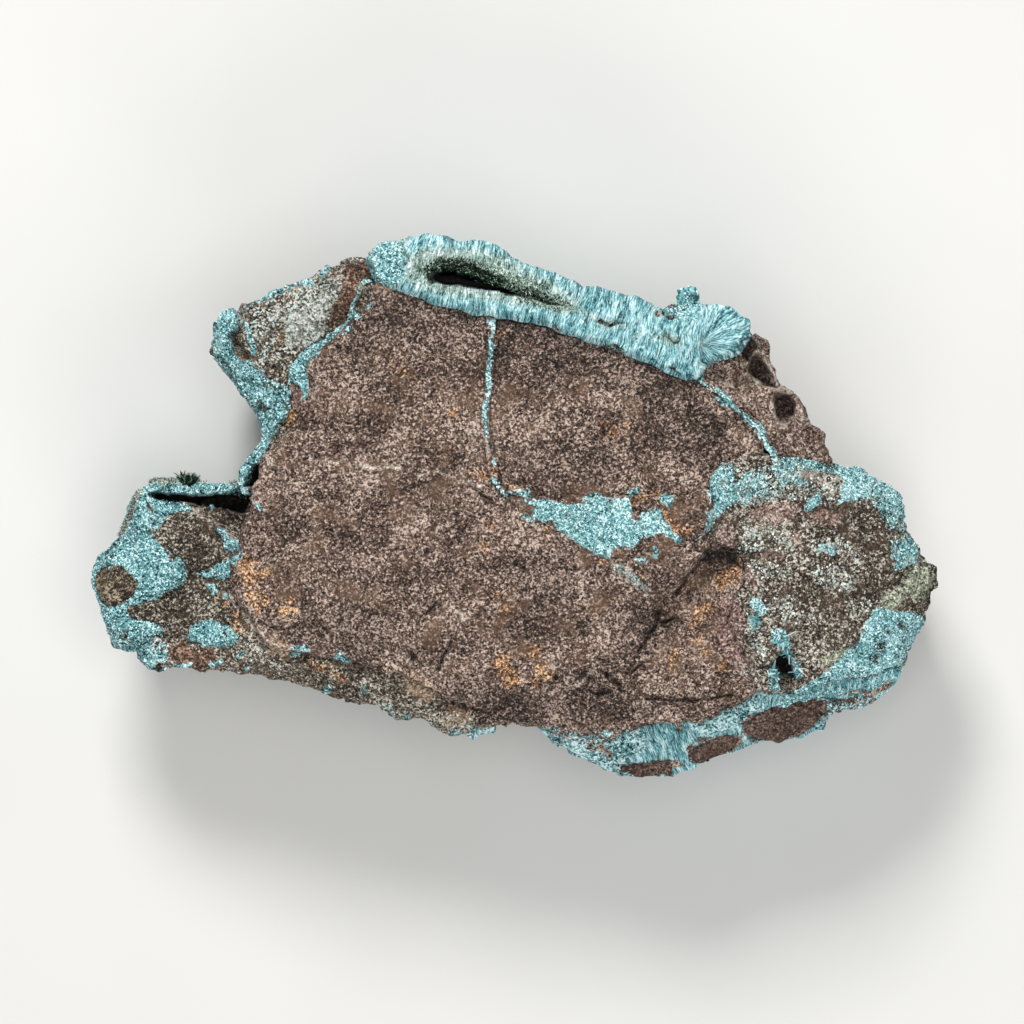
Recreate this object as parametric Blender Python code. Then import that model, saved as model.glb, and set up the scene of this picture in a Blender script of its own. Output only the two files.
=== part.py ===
"""A specimen of shattuckite: dark fragments of rock held together by pale blue veins.

The specimen lies on its back. X runs along the display face to the right, Y runs up the
display face, and Z points out of it. Lengths below are in millimetres, and each finished
mesh is brought to metres.
"""

import math

import bmesh
import bpy
from mathutils import Vector, noise
from mathutils.geometry import intersect_point_line

MM = 0.001

# The middle of the finished specimen, as the lines below are drawn.
MIDDLE = Vector((-0.03, 0.22, 0.0))

# Between two neighbouring pieces, and how far each of them stands back from their shared line.
GAP = 0.3
SET_BACK = GAP / 2

# Spacing of the points over a face, and the heights at which the outer walls are divided.
GRID = 2.4
SMALL_GRID = 1.7
WALL_LEVELS = (4.0, 8.0, 12.0, 16.0)
CLOSEST_POINTS = 0.12
BLANK_HEIGHT = 10.0

# The general height of the display face, and how far it falls away at its two ends and its foot.
LEVEL = 22.5
RIGHT_FALL, RIGHT_FROM, RIGHT_OVER = 6.5, 19.0, 21.0
LEFT_FALL, LEFT_FROM, LEFT_OVER = 3.5, -22.0, 12.0
FOOT_FALL, FOOT_FROM, FOOT_OVER = 3.5, -14.0, 10.0

# The sides draw in evenly towards the back, most of all far from the specimen's middle line,
# and the outer walls are pinched here and there, by no more than a share of their thickness.
MIDDLE_LINE = 20.0
DRAW_IN = 0.14
WIDEST_BELOW = 2.0
PINCH = 3.4
PINCH_MEAN = 0.45
PINCH_SIZE = 7.0
PINCH_SHARE = 0.42
WALL_SMOOTHING = 6

# The back: it rises to the outer edge, by a share of the height there, and it is uneven between
# flats on which the specimen rests.
BACK_REACH = 9.0
BACK_SHARE = 0.42
BACK_SHARE_VARIES = 0.5
BACK_UNEVENNESS = 1.8
BACK_SIZE = 11.0
BACK_FLATS = 0.05

# Lines along the veins and edges of the display face, as X and Y. A line that two pieces
# share is written once, and starts where the line before it ends.
VEIN_FOOT_LEFT = [
    (-12.7, 20.3), (-11.7, 20.1), (-10.3, 19.5), (-9.0, 18.9), (-7.6, 18.2), (-5.8, 17.8),
    (-3.6, 17.3), (-2.6, 17.2),
]
VEIN_FOOT_RIGHT = [
    (-1.8, 17.0), (-0.4, 16.9), (1.3, 16.5), (3.1, 16.1), (5.0, 15.5), (7.6, 14.6), (9.0, 14.0),
    (10.5, 13.6), (12.2, 13.0), (13.2, 12.4), (14.8, 11.7), (16.4, 11.3),
]
VEIN_END = [
    (17.0, 11.9), (16.8, 12.6), (17.7, 13.1), (18.9, 13.4), (20.1, 13.9), (20.8, 14.7), (21.4, 15.6),
]
VEIN_TOP = [
    (21.4, 15.6), (21.5, 16.2), (21.1, 16.8), (20.4, 17.2), (19.5, 18.0), (18.6, 18.1), (17.4, 18.2),
    (15.6, 18.2), (13.9, 18.1), (12.2, 18.5), (10.8, 18.9), (9.6, 19.0), (8.5, 19.5), (7.6, 19.7), (6.3, 19.8),
    (5.4, 20.2), (4.0, 20.9), (3.1, 21.3), (1.8, 21.6), (0.4, 22.2), (-0.4, 22.7), (-1.3, 23.3),
    (-2.2, 23.7), (-3.3, 24.0), (-4.5, 24.1), (-5.4, 24.3), (-6.8, 24.4), (-8.1, 24.5), (-9.3, 24.3),
    (-10.2, 23.9), (-11.5, 24.0), (-12.1, 23.7), (-12.9, 22.9), (-13.5, 22.4),
]
VEIN_START = [(-13.5, 22.4), (-13.0, 21.6), (-12.7, 21.1), (-12.7, 20.3)]
UPPER_LEFT_TOP = [
    (-13.5, 22.4), (-14.7, 22.8), (-15.5, 22.6), (-15.9, 22.0), (-16.6, 21.3), (-17.6, 21.1),
    (-18.2, 20.5), (-18.9, 20.3), (-20.0, 20.1), (-20.7, 19.7), (-21.8, 19.3), (-22.8, 18.9),
    (-23.8, 18.6), (-24.8, 18.1),
]
RIM_INNER = [
    (-24.8, 18.1), (-24.9, 17.0), (-24.8, 15.8), (-25.6, 15.3), (-25.3, 14.1), (-24.5, 12.9),
    (-23.3, 12.2), (-22.1, 11.3), (-20.9, 10.8), (-20.4, 10.6),
]
LEFT_VEIN_OUTER = [
    (-20.4, 10.6), (-20.2, 11.1), (-20.4, 11.9), (-20.2, 12.8), (-19.3, 13.9), (-17.7, 14.7),
    (-16.1, 15.5), (-15.4, 16.4), (-14.7, 17.5), (-14.2, 18.9), (-13.6, 20.3),
]
LEFT_VEIN_INNER = [
    (-19.3, 9.1), (-18.7, 9.9), (-18.4, 10.8), (-18.5, 11.7), (-18.8, 12.6), (-18.3, 13.4),
    (-17.0, 14.3), (-15.8, 15.2), (-14.9, 16.1), (-14.3, 17.1), (-13.4, 17.7), (-12.6, 18.5),
    (-12.7, 20.3),
]
BLOCK_LEFT = [
    (-19.3, 9.1), (-19.3, 8.0), (-20.2, 6.9), (-21.2, 5.9), (-22.3, 5.1), (-23.1, 4.1), (-23.2, 2.0),
    (-23.7, 1.4), (-23.7, 0.7),
]
RIM_OUTER = [
    (-24.8, 18.1), (-25.5, 18.1), (-26.4, 17.6), (-27.1, 16.8), (-27.3, 15.8), (-27.4, 14.3),
    (-26.9, 13.5), (-26.3, 12.7), (-25.5, 11.8), (-24.8, 10.9), (-24.2, 10.0), (-23.8, 9.1),
    (-23.2, 8.6), (-22.9, 7.9), (-22.8, 6.0), (-23.7, 5.4), (-24.2, 4.6), (-24.8, 3.7),
    (-25.0, 1.6),
]
LOWER_LEFT_RIGHT = [
    (-23.7, 0.7), (-24.1, -0.9), (-24.8, -2.2), (-25.0, -3.5), (-25.6, -4.8), (-25.7, -6.2),
    (-25.3, -7.7), (-24.6, -9.0), (-23.7, -10.4), (-22.8, -12.0), (-21.6, -12.9),
]
LOWER_LEFT_OUTER = [
    (-25.0, 1.6), (-25.2, 2.3), (-27.0, 2.4), (-28.8, 2.4), (-30.3, 2.5), (-31.5, 2.4), (-32.7, 2.3),
    (-33.6, 1.8), (-34.2, 1.0), (-34.5, -0.1), (-35.2, -2.1), (-36.2, -3.8), (-37.1, -4.3),
    (-37.6, -4.8), (-38.2, -6.2), (-38.2, -8.1), (-37.8, -9.2), (-37.5, -10.3), (-37.2, -11.4),
    (-36.9, -12.5), (-36.5, -13.3), (-35.4, -13.5), (-34.5, -13.4),
]
BOTTOM_LEFT_TOP = [
    (-34.5, -13.4), (-33.0, -12.0), (-31.5, -12.1), (-30.6, -11.7), (-29.2, -12.4), (-27.4, -12.7),
    (-25.5, -12.1), (-23.8, -12.5), (-21.6, -12.9),
]
BOTTOM_LEFT_OUTER = [
    (-34.5, -13.4), (-33.9, -14.4), (-32.4, -15.3), (-30.9, -15.3), (-29.2, -15.3), (-27.4, -15.2),
    (-25.5, -15.1), (-23.8, -15.3), (-22.1, -15.5), (-20.6, -15.8), (-19.3, -16.3), (-18.0, -16.8),
    (-16.6, -17.4), (-15.3, -17.9), (-13.5, -18.0), (-12.2, -18.5), (-10.8, -19.2), (-9.9, -19.8),
    (-8.7, -19.8), (-7.6, -20.0), (-6.8, -20.6), (-5.7, -20.8), (-3.9, -20.9), (-2.2, -20.7),
    (-0.6, -19.6),
]
BLOCK_FOOT = [
    (-21.6, -12.9), (-19.3, -13.1), (-16.6, -13.7), (-13.9, -14.4), (-11.7, -14.9), (-9.4, -15.3),
    (-7.5, -16.5), (-5.4, -17.7), (-2.4, -18.0), (-0.6, -19.6),
]
BLOCK_TOE = [(-0.6, -19.6), (0.6, -19.9), (2.0, -20.3)]
BOTTOM_VEIN_OUTER = [
    (2.0, -20.3), (3.0, -21.3), (4.0, -22.1), (5.1, -22.8), (6.4, -23.1), (7.4, -23.3), (8.2, -23.9),
    (9.3, -24.3), (10.9, -24.5), (12.6, -24.5), (14.4, -24.3), (15.8, -24.0), (17.7, -23.3),
    (19.0, -22.8), (20.3, -22.4), (21.6, -21.9), (22.9, -21.5), (24.4, -21.6), (25.9, -21.4),
    (27.1, -20.9), (28.2, -20.6), (28.5, -19.4), (29.7, -18.9), (31.0, -18.6), (32.3, -18.0),
    (33.4, -17.1), (34.1, -16.3), (35.0, -14.4),
]
BOTTOM_VEIN_INNER = [
    (2.0, -20.3), (2.5, -19.5), (5.0, -19.8), (7.6, -20.2), (10.3, -20.0), (11.7, -19.2),
    (14.1, -19.0), (16.6, -18.9), (18.6, -18.2), (20.4, -17.7), (21.8, -16.7),
]
LOBE_FOOT = [
    (21.8, -16.7), (22.8, -16.2), (23.7, -16.7), (25.6, -16.9), (27.4, -15.9), (29.7, -15.4),
    (31.9, -14.9), (33.6, -14.2), (35.0, -14.4),
]
LOBE_OUTER = [
    (29.2, 3.8), (30.1, 3.6), (31.2, 3.5), (32.3, 2.8), (33.0, 1.9), (33.8, 1.5), (34.6, 0.9),
    (35.0, -0.1), (35.3, -2.3), (35.9, -2.8), (36.4, -3.8), (36.4, -4.8), (37.2, -5.2),
    (37.8, -5.9), (38.2, -6.9), (38.1, -8.0), (37.5, -8.8), (37.3, -9.7), (36.9, -10.5),
    (36.3, -11.4), (35.9, -12.5), (35.0, -14.4),
]
LOBE_LEFT = [
    (21.8, -16.7), (21.1, -14.5), (20.2, -12.5), (19.2, -10.4), (19.8, -8.4), (20.7, -6.6),
    (20.7, -5.0), (20.2, -3.8), (18.6, -3.6), (17.5, -2.3),
]
LEDGE_END = [(17.5, -2.3), (17.8, -0.5), (18.1, 0.8), (17.6, 1.5)]
LOBE_TOP_LEFT = [(17.6, 1.5), (17.8, 2.6), (18.6, 3.7), (19.8, 4.5), (21.6, 4.8), (23.1, 4.4)]
LOBE_TOP_RIGHT = [(23.9, 4.3), (25.6, 4.4), (27.4, 4.0), (29.2, 3.8)]
SHOULDER_OUTER = [
    (21.4, 15.6), (22.2, 15.5), (22.9, 15.2), (23.2, 14.4), (23.5, 13.4), (23.8, 11.3), (24.8, 10.8),
    (25.6, 10.0), (26.1, 9.3), (26.4, 7.6), (27.3, 7.2), (27.9, 6.4), (28.6, 4.5), (29.2, 3.8),
]
LEDGE_TOP = [
    (-1.4, 2.1), (-0.6, 1.2), (1.3, 0.6), (3.9, 0.9), (6.8, 0.7), (8.7, 0.9), (12.2, 0.9), (14.8, 1.0),
    (17.6, 1.5),
]
LEDGE_FOOT = [
    (-2.2, 2.1), (-0.3, 0.3), (1.6, -0.9), (3.7, -2.1), (5.4, -3.1), (7.3, -4.3), (8.7, -4.8),
    (10.7, -4.5), (13.0, -3.7), (15.8, -3.1), (17.5, -2.3),
]

# Thin veins, by their middle lines between the ends, and half their width across.
UPRIGHT_VEIN = [(-2.1, 14.5), (-2.3, 11.4), (-2.6, 9.1), (-2.7, 7.3), (-2.5, 5.5), (-2.1, 4.0)]
SLANTED_VEIN = [(18.3, 10.6), (19.8, 9.2), (21.0, 8.0), (22.0, 7.2), (22.7, 6.0)]
UPRIGHT_HALF = (0.4, 0.0)
SLANTED_HALF = (0.3, 0.3)

# Fragments and hollows inside the veins.
DIAMOND_FRAGMENT = [
    (-29.6, -0.4), (-27.9, -1.3), (-26.9, -2.6), (-26.1, -4.0), (-26.4, -4.9), (-27.9, -5.7),
    (-29.2, -5.8), (-29.9, -4.8), (-30.5, -4.5), (-31.9, -3.7), (-32.7, -2.7), (-31.9, -1.5),
    (-30.9, -0.6),
]
ROUND_FRAGMENT = [
    (-37.4, -6.3), (-36.4, -5.6), (-35.2, -5.8), (-34.3, -6.5), (-33.9, -7.1), (-34.6, -7.9),
    (-35.2, -8.5), (-36.0, -9.0), (-37.0, -8.6), (-37.5, -7.5),
]
WEDGE_FRAGMENT = [
    (-35.0, -9.5), (-32.9, -8.7), (-30.3, -8.0), (-29.2, -6.8), (-26.8, -6.6), (-26.3, -7.7),
    (-26.0, -9.3), (-25.7, -10.5), (-27.0, -10.4), (-29.2, -10.8), (-31.9, -10.6), (-34.0, -10.1),
]
RIGHT_FRAGMENT = [
    (20.6, -19.3), (22.3, -18.5), (24.8, -17.9), (27.2, -17.5), (29.9, -17.3), (31.6, -17.0),
    (29.7, -18.2), (27.8, -18.7), (26.9, -19.8), (25.9, -20.8), (24.3, -21.0), (22.5, -20.9),
    (21.4, -20.6),
]
MIDDLE_FRAGMENT = [
    (15.7, -21.9), (16.9, -21.2), (18.6, -20.6), (19.8, -20.5), (20.0, -21.3), (19.4, -21.9),
    (18.2, -22.4), (16.9, -22.8), (15.9, -22.7),
]
LOW_FRAGMENT = [
    (8.9, -23.3), (10.3, -22.8), (12.4, -22.5), (14.3, -22.6), (14.0, -23.3), (12.4, -23.8),
    (10.3, -23.8),
]
SLOT = [
    (-32.8, 1.1), (-29.2, 0.9), (-26.1, 1.0), (-24.9, 0.7), (-24.9, -0.1), (-27.4, 0.2), (-29.7, 0.4),
    (-31.7, 0.5),
]
VUG = [
    (-8.2, 21.2), (-7.5, 21.6), (-6.2, 22.0), (-5.0, 21.7), (-3.6, 21.4), (-2.4, 20.8), (-1.3, 20.1),
    (0.3, 19.5), (1.9, 19.0), (2.9, 18.6), (1.8, 18.3), (0.0, 18.8), (-1.8, 19.2), (-3.9, 19.5),
    (-5.7, 19.8), (-7.1, 19.9), (-8.1, 20.5),
]
VUG_HOLLOW = [
    (-7.4, 20.9), (-6.2, 21.4), (-5.0, 21.1), (-3.6, 20.8), (-2.4, 20.3), (-1.3, 19.7), (0.0, 19.2),
    (-1.8, 19.6), (-3.9, 20.0), (-5.7, 20.3), (-7.1, 20.4),
]
FRAGMENT_DEPTH = 6.5
SMALL_FRAGMENT_DEPTH = 4.0
SLOT_DEPTH = 8.0
VUG_DEPTH = 5.0
VUG_HOLLOW_DEPTH = 4.4
CUTTER_TOP = 27.0

# The knob on the top vein, by the middles and radii of its lumps.
KNOB_LUMPS = [((15.8, 17.7, 19.4), 1.2), ((15.4, 18.8, 19.7), 0.85), ((16.2, 19.3, 19.6), 0.75)]


def sides(line, half):
    """The two sides of a thin vein, half its width to either side of its middle line."""
    before = [(x - half[0], y - half[1]) for x, y in line]
    after = [(x + half[0], y + half[1]) for x, y in line]
    return before, after


def backwards(line):
    return line[::-1]


def around(*lines):
    """One closed outline, from lines that each go on from the one before."""
    points = []
    for line in lines:
        points += [point for point in line if point not in points[-1:]]
    return points[:-1] if points[0] == points[-1] else points


UPRIGHT_LEFT, UPRIGHT_RIGHT = sides(UPRIGHT_VEIN, UPRIGHT_HALF)
SLANTED_LOWER, SLANTED_UPPER = sides(SLANTED_VEIN, SLANTED_HALF)
OUTER_EDGE = around(
    VEIN_TOP,
    UPPER_LEFT_TOP,
    RIM_OUTER,
    LOWER_LEFT_OUTER,
    BOTTOM_LEFT_OUTER,
    BLOCK_TOE,
    BOTTOM_VEIN_OUTER,
    backwards(LOBE_OUTER),
    backwards(SHOULDER_OUTER),
)


def ease(t):
    """From 0 to 1 and flat at both ends."""
    t = min(1.0, max(0.0, t))
    return t * t * (3.0 - 2.0 * t)


def quarter_round(distance, radius):
    """How far a rounded edge has dropped, at a distance inside it."""
    if distance >= radius:
        return 0.0
    return radius - math.sqrt(radius * radius - (radius - distance) ** 2)


def to_outer_edge(x, y):
    """How far a point is from the specimen's outer edge."""
    here = Vector((x, y))
    least = math.inf
    for start, end in zip(OUTER_EDGE, OUTER_EDGE[1:] + OUTER_EDGE[:1]):
        along = intersect_point_line(here, Vector(start), Vector(end))[1]
        nearest = Vector(start).lerp(Vector(end), min(1.0, max(0.0, along)))
        least = min(least, (nearest - here).length)
    return least


def level_at(x, y):
    """The general height of the display face."""
    right = RIGHT_FALL * ease((x - RIGHT_FROM) / RIGHT_OVER)
    left = LEFT_FALL * ease((LEFT_FROM - x) / LEFT_OVER)
    foot = FOOT_FALL * ease((FOOT_FROM - y) / FOOT_OVER)
    return LEVEL - right - left - foot


class Face:
    """The front of a piece: it stands above or below the general level, is uneven, has lumps and
    hollows, and rounds off at the specimen's outer edge."""

    def __init__(self, above, lumps=(), rounding=2.5, rough=0.35):
        self.above = above
        self.lumps = lumps
        self.rounding = rounding
        self.rough = rough

    def at(self, x, y):
        z = level_at(x, y) + self.above
        z += self.rough * noise.noise(Vector((x / 5.0, y / 5.0, self.above)))
        for (lump_x, lump_y), (reach_x, reach_y), rise in self.lumps:
            away = math.hypot((x - lump_x) / reach_x, (y - lump_y) / reach_y)
            z += rise * (1.0 - ease(away))
        return z - quarter_round(to_outer_edge(x, y), self.rounding)


def back_at(x, y, lift):
    """The height of the back under a point: level where the specimen rests."""
    uneven = BACK_UNEVENNESS * (noise.noise(Vector((x / BACK_SIZE, y / BACK_SIZE, 4.0))) + BACK_FLATS)
    share = BACK_SHARE + BACK_SHARE_VARIES * noise.noise(Vector((x / BACK_SIZE, y / BACK_SIZE, 8.0)))
    rise = quarter_round(to_outer_edge(x, y) / BACK_REACH, 1.0) * share * level_at(x, y)
    return max(0.0, uneven + rise) + lift


def inward(point):
    """The way from a point to the middle line, level."""
    return Vector((min(MIDDLE_LINE, max(-MIDDLE_LINE, point.x)) - point.x, -point.y, 0.0))


def drawn_in(point):
    """Where a point of a straight-sided piece goes. It moves in proportion to its depth, so walls
    that face each other stay as far apart as they were."""
    level = level_at(point.x, point.y)
    return point + inward(point) * DRAW_IN * (level - WIDEST_BELOW - point.z) / level


def set_back(outline, distance):
    """An outline moved inwards all round by a distance, or outwards by a negative one."""
    doubled_area = sum(a[0] * b[1] - b[0] * a[1] for a, b in zip(outline, outline[1:] + outline[:1]))
    ordered = outline if doubled_area > 0 else backwards(outline)
    moved = []
    for before, here, after in zip(ordered[-1:] + ordered[:-1], ordered, ordered[1:] + ordered[:1]):
        arriving = (Vector(here) - Vector(before)).normalized()
        leaving = (Vector(after) - Vector(here)).normalized()
        across = Vector((-arriving.y - leaving.y, arriving.x + leaving.x)).normalized()
        mitre = max(0.6, across.dot(Vector((-arriving.y, arriving.x))))
        moved.append(Vector(here) + across * distance / mitre)
    return moved


def divide(bm, faces, along, places):
    """Cuts faces by planes across one direction."""
    for at in places:
        touched = dict.fromkeys(item for face in faces for item in (face, *face.edges, *face.verts))
        cut = bmesh.ops.bisect_plane(
            bm, geom=list(touched), plane_co=along * at, plane_no=along, dist=CLOSEST_POINTS / 4
        )
        faces = [item for item in cut["geom"] if isinstance(item, bmesh.types.BMFace)]


def steps(low, high, spacing):
    """Multiples of a spacing that lie between two values."""
    first = math.floor(low / spacing) + 1
    return [n * spacing for n in range(first, math.ceil(high / spacing))]


def is_outer(wall):
    """Whether a face is a wall along the specimen's outer edge."""
    if abs(wall.normal.z) > 0.01:
        return False
    return all(to_outer_edge(vert.co.x, vert.co.y) < 2.0 * SET_BACK for vert in wall.verts)


def pinch_walls(bm, crown):
    """Presses the outer walls in unevenly below the crown, which is the edge of the display face,
    and not where they meet the inner walls."""
    outer = {face for face in bm.faces if is_outer(face)}
    upright = {face for face in bm.faces if abs(face.normal.z) < 0.01}
    inner = {vert for face in upright - outer for vert in face.verts}
    fixed = {(round(vert.co.x, 3), round(vert.co.y, 3)) for vert in inner}
    walls = {vert for face in outer for vert in face.verts} - crown - inner
    for vert in walls:
        room = min((math.dist(vert.co.xy, corner) for corner in fixed), default=PINCH / PINCH_SHARE)
        pinch = PINCH * (PINCH_MEAN + noise.noise(vert.co / PINCH_SIZE))
        vert.co += inward(vert.co).normalized() * max(0.0, min(pinch, PINCH_SHARE * room))
    for _ in range(WALL_SMOOTHING):
        bmesh.ops.smooth_vert(bm, verts=list(walls), factor=0.5, use_axis_x=True, use_axis_y=True)


def solid(outline, distance, top, bottom, grid):
    """A closed mesh over an outline, between two heights given as functions of X and Y."""
    bm = bmesh.new()
    corners = [bm.verts.new((point.x, point.y, 0.0)) for point in set_back(outline, distance)]
    floor = bm.faces.new(corners)
    grown = bmesh.ops.extrude_face_region(bm, geom=[floor], use_keep_orig=True)
    roof = [item for item in grown["geom"] if isinstance(item, bmesh.types.BMVert)]
    bmesh.ops.translate(bm, vec=(0.0, 0.0, BLANK_HEIGHT), verts=roof)
    xs = [vert.co.x for vert in corners]
    ys = [vert.co.y for vert in corners]
    divide(bm, bm.faces[:], Vector((1.0, 0.0, 0.0)), steps(min(xs), max(xs), grid))
    divide(bm, bm.faces[:], Vector((0.0, 1.0, 0.0)), steps(min(ys), max(ys), grid))
    bmesh.ops.remove_doubles(bm, verts=bm.verts[:], dist=CLOSEST_POINTS)
    bmesh.ops.recalc_face_normals(bm, faces=bm.faces[:])
    level = [face for face in bm.faces if abs(face.normal.z) > 0.5]
    bmesh.ops.triangulate(bm, faces=level)
    crown = {vert for vert in bm.verts if vert.co.z > 0.5 * BLANK_HEIGHT}
    for vert in bm.verts:
        height = top if vert in crown else bottom
        vert.co.z = height(vert.co.x, vert.co.y)
    divide(bm, [face for face in bm.faces if is_outer(face)], Vector((0.0, 0.0, 1.0)), WALL_LEVELS)
    pinch_walls(bm, crown)
    for vert in bm.verts:
        vert.co = drawn_in(vert.co)
    return bm


def material(name, colour, roughness):
    """A plain finish."""
    finish = bpy.data.materials.new(name)
    finish.use_nodes = True
    shader = finish.node_tree.nodes["Principled BSDF"]
    shader.inputs["Base Color"].default_value = (*colour, 1.0)
    shader.inputs["Roughness"].default_value = roughness
    shader.inputs["Metallic"].default_value = 0.0
    finish.diffuse_color = (*colour, 1.0)
    return finish


def place(name, bm, finish):
    """An object from a finished mesh, with the middle of the specimen over the origin."""
    bmesh.ops.translate(bm, vec=-MIDDLE, verts=bm.verts[:])
    bmesh.ops.scale(bm, vec=(MM, MM, MM), verts=bm.verts[:])
    mesh = bpy.data.meshes.new(name)
    bm.to_mesh(mesh)
    bm.free()
    mesh.materials.append(finish)
    mesh.shade_smooth()
    mesh.set_sharp_from_angle(angle=math.radians(40.0))
    piece = bpy.data.objects.new(name, mesh)
    bpy.context.scene.collection.objects.link(piece)
    return piece


def through_piece(name, outline, face, finish, lift=0.3):
    """A piece that reaches from the display face to the back."""
    bm = solid(outline, SET_BACK, face.at, lambda x, y: back_at(x, y, lift), GRID)
    return place(name, bm, finish)


def combine(host, name, bm, operation):
    """Joins a shape to a piece, or cuts it out."""
    shape = place(name, bm, host.data.materials[0])
    shape.hide_render = True
    shape.display_type = "WIRE"
    boolean = host.modifiers.new(name, "BOOLEAN")
    boolean.operation = operation
    boolean.solver = "EXACT"
    boolean.use_self = operation == "UNION"
    boolean.object = shape


def hollow(host, name, outline, wider, depth):
    """Cuts a pocket into a piece, wider than an outline all round and open to the display face."""
    bm = solid(outline, -wider, lambda x, y: CUTTER_TOP, lambda x, y: level_at(x, y) - depth, SMALL_GRID)
    combine(host, name, bm, "DIFFERENCE")


def knob(host, name):
    """Joins a small knob to the outside of a piece."""
    bm = bmesh.new()
    for centre, radius in KNOB_LUMPS:
        lump = bmesh.ops.create_icosphere(bm, subdivisions=1, radius=radius)
        bmesh.ops.translate(bm, vec=centre, verts=lump["verts"])
    combine(host, name, bm, "UNION")


def pocketed_fragment(host, name, outline, face, depth, finish):
    """A piece that sits in a pocket of its vein, open to the display face."""
    hollow(host, name + "_pocket", outline, SET_BACK, depth + GAP)
    bm = solid(outline, SET_BACK, face.at, lambda x, y: level_at(x, y) - depth, SMALL_GRID)
    return place(name, bm, finish)


def build_rock(brown, grey_brown):
    """The large fragments."""
    through_piece(
        "main_block",
        around(
            VEIN_FOOT_LEFT,
            UPRIGHT_LEFT,
            LEDGE_FOOT,
            backwards(LOBE_LEFT),
            backwards(BOTTOM_VEIN_INNER),
            backwards(BLOCK_TOE),
            backwards(BLOCK_FOOT),
            backwards(LOWER_LEFT_RIGHT),
            backwards(BLOCK_LEFT),
            LEFT_VEIN_INNER,
        ),
        Face(
            0.0,
            lumps=(
                ((15.8, -8.6), (6.2, 5.6), -3.0),
                ((-24.5, -5.0), (4.5, 9.0), -1.3),
                ((-16.0, -14.5), (10.0, 3.6), -1.4),
                ((-19.5, 8.0), (3.5, 4.5), -1.0),
                ((4.5, -7.0), (6.5, 5.5), 0.7),
                ((-9.0, 6.0), (9.0, 8.0), 0.4),
            ),
        ),
        brown,
        lift=0.0,
    )
    through_piece(
        "upper_block",
        around(
            VEIN_FOOT_RIGHT,
            SLANTED_LOWER,
            backwards(LOBE_TOP_LEFT),
            backwards(LEDGE_TOP),
            backwards(UPRIGHT_RIGHT),
        ),
        Face(-0.5, lumps=(((19.0, 6.0), (4.0, 4.0), -0.5),)),
        brown,
        lift=0.0,
    )
    through_piece(
        "shoulder_rock",
        around(VEIN_END, SHOULDER_OUTER, backwards(LOBE_TOP_RIGHT), backwards(SLANTED_UPPER)),
        Face(
            -1.2,
            lumps=(((21.7, 13.1), (1.9, 2.5), -4.0), ((24.7, 8.8), (1.6, 1.9), -3.2)),
            rounding=2.0,
        ),
        brown,
    )
    through_piece(
        "upper_left_rock",
        around(
            UPPER_LEFT_TOP, RIM_INNER, LEFT_VEIN_OUTER, [(-12.7, 20.3)], backwards(VEIN_START)
        ),
        Face(
            -2.4,
            lumps=(((-15.2, 19.0), (3.4, 3.6), 1.4), ((-22.4, 14.6), (2.4, 2.4), -0.9)),
        ),
        grey_brown,
    )
    through_piece(
        "bottom_left_rock",
        around(BOTTOM_LEFT_TOP, BLOCK_FOOT, backwards(BOTTOM_LEFT_OUTER)),
        Face(-1.9, rounding=2.4, rough=0.9),
        grey_brown,
    )
    through_piece(
        "right_lobe",
        around(LOBE_TOP_LEFT, LOBE_TOP_RIGHT, LOBE_OUTER, backwards(LOBE_FOOT), LOBE_LEFT, LEDGE_END),
        Face(
            -0.9,
            lumps=(
                ((20.3, 2.6), (3.2, 2.4), 1.3),
                ((24.0, -14.6), (2.2, 2.0), -3.2),
                ((31.0, -5.0), (3.6, 3.0), 0.9),
                ((23.5, -7.0), (3.0, 4.0), -0.9),
                ((33.0, -11.0), (3.0, 2.4), 0.6),
                ((29.0, 0.5), (3.2, 2.2), 0.8),
            ),
            rounding=4.0,
            rough=0.8,
        ),
        grey_brown,
    )


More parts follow.
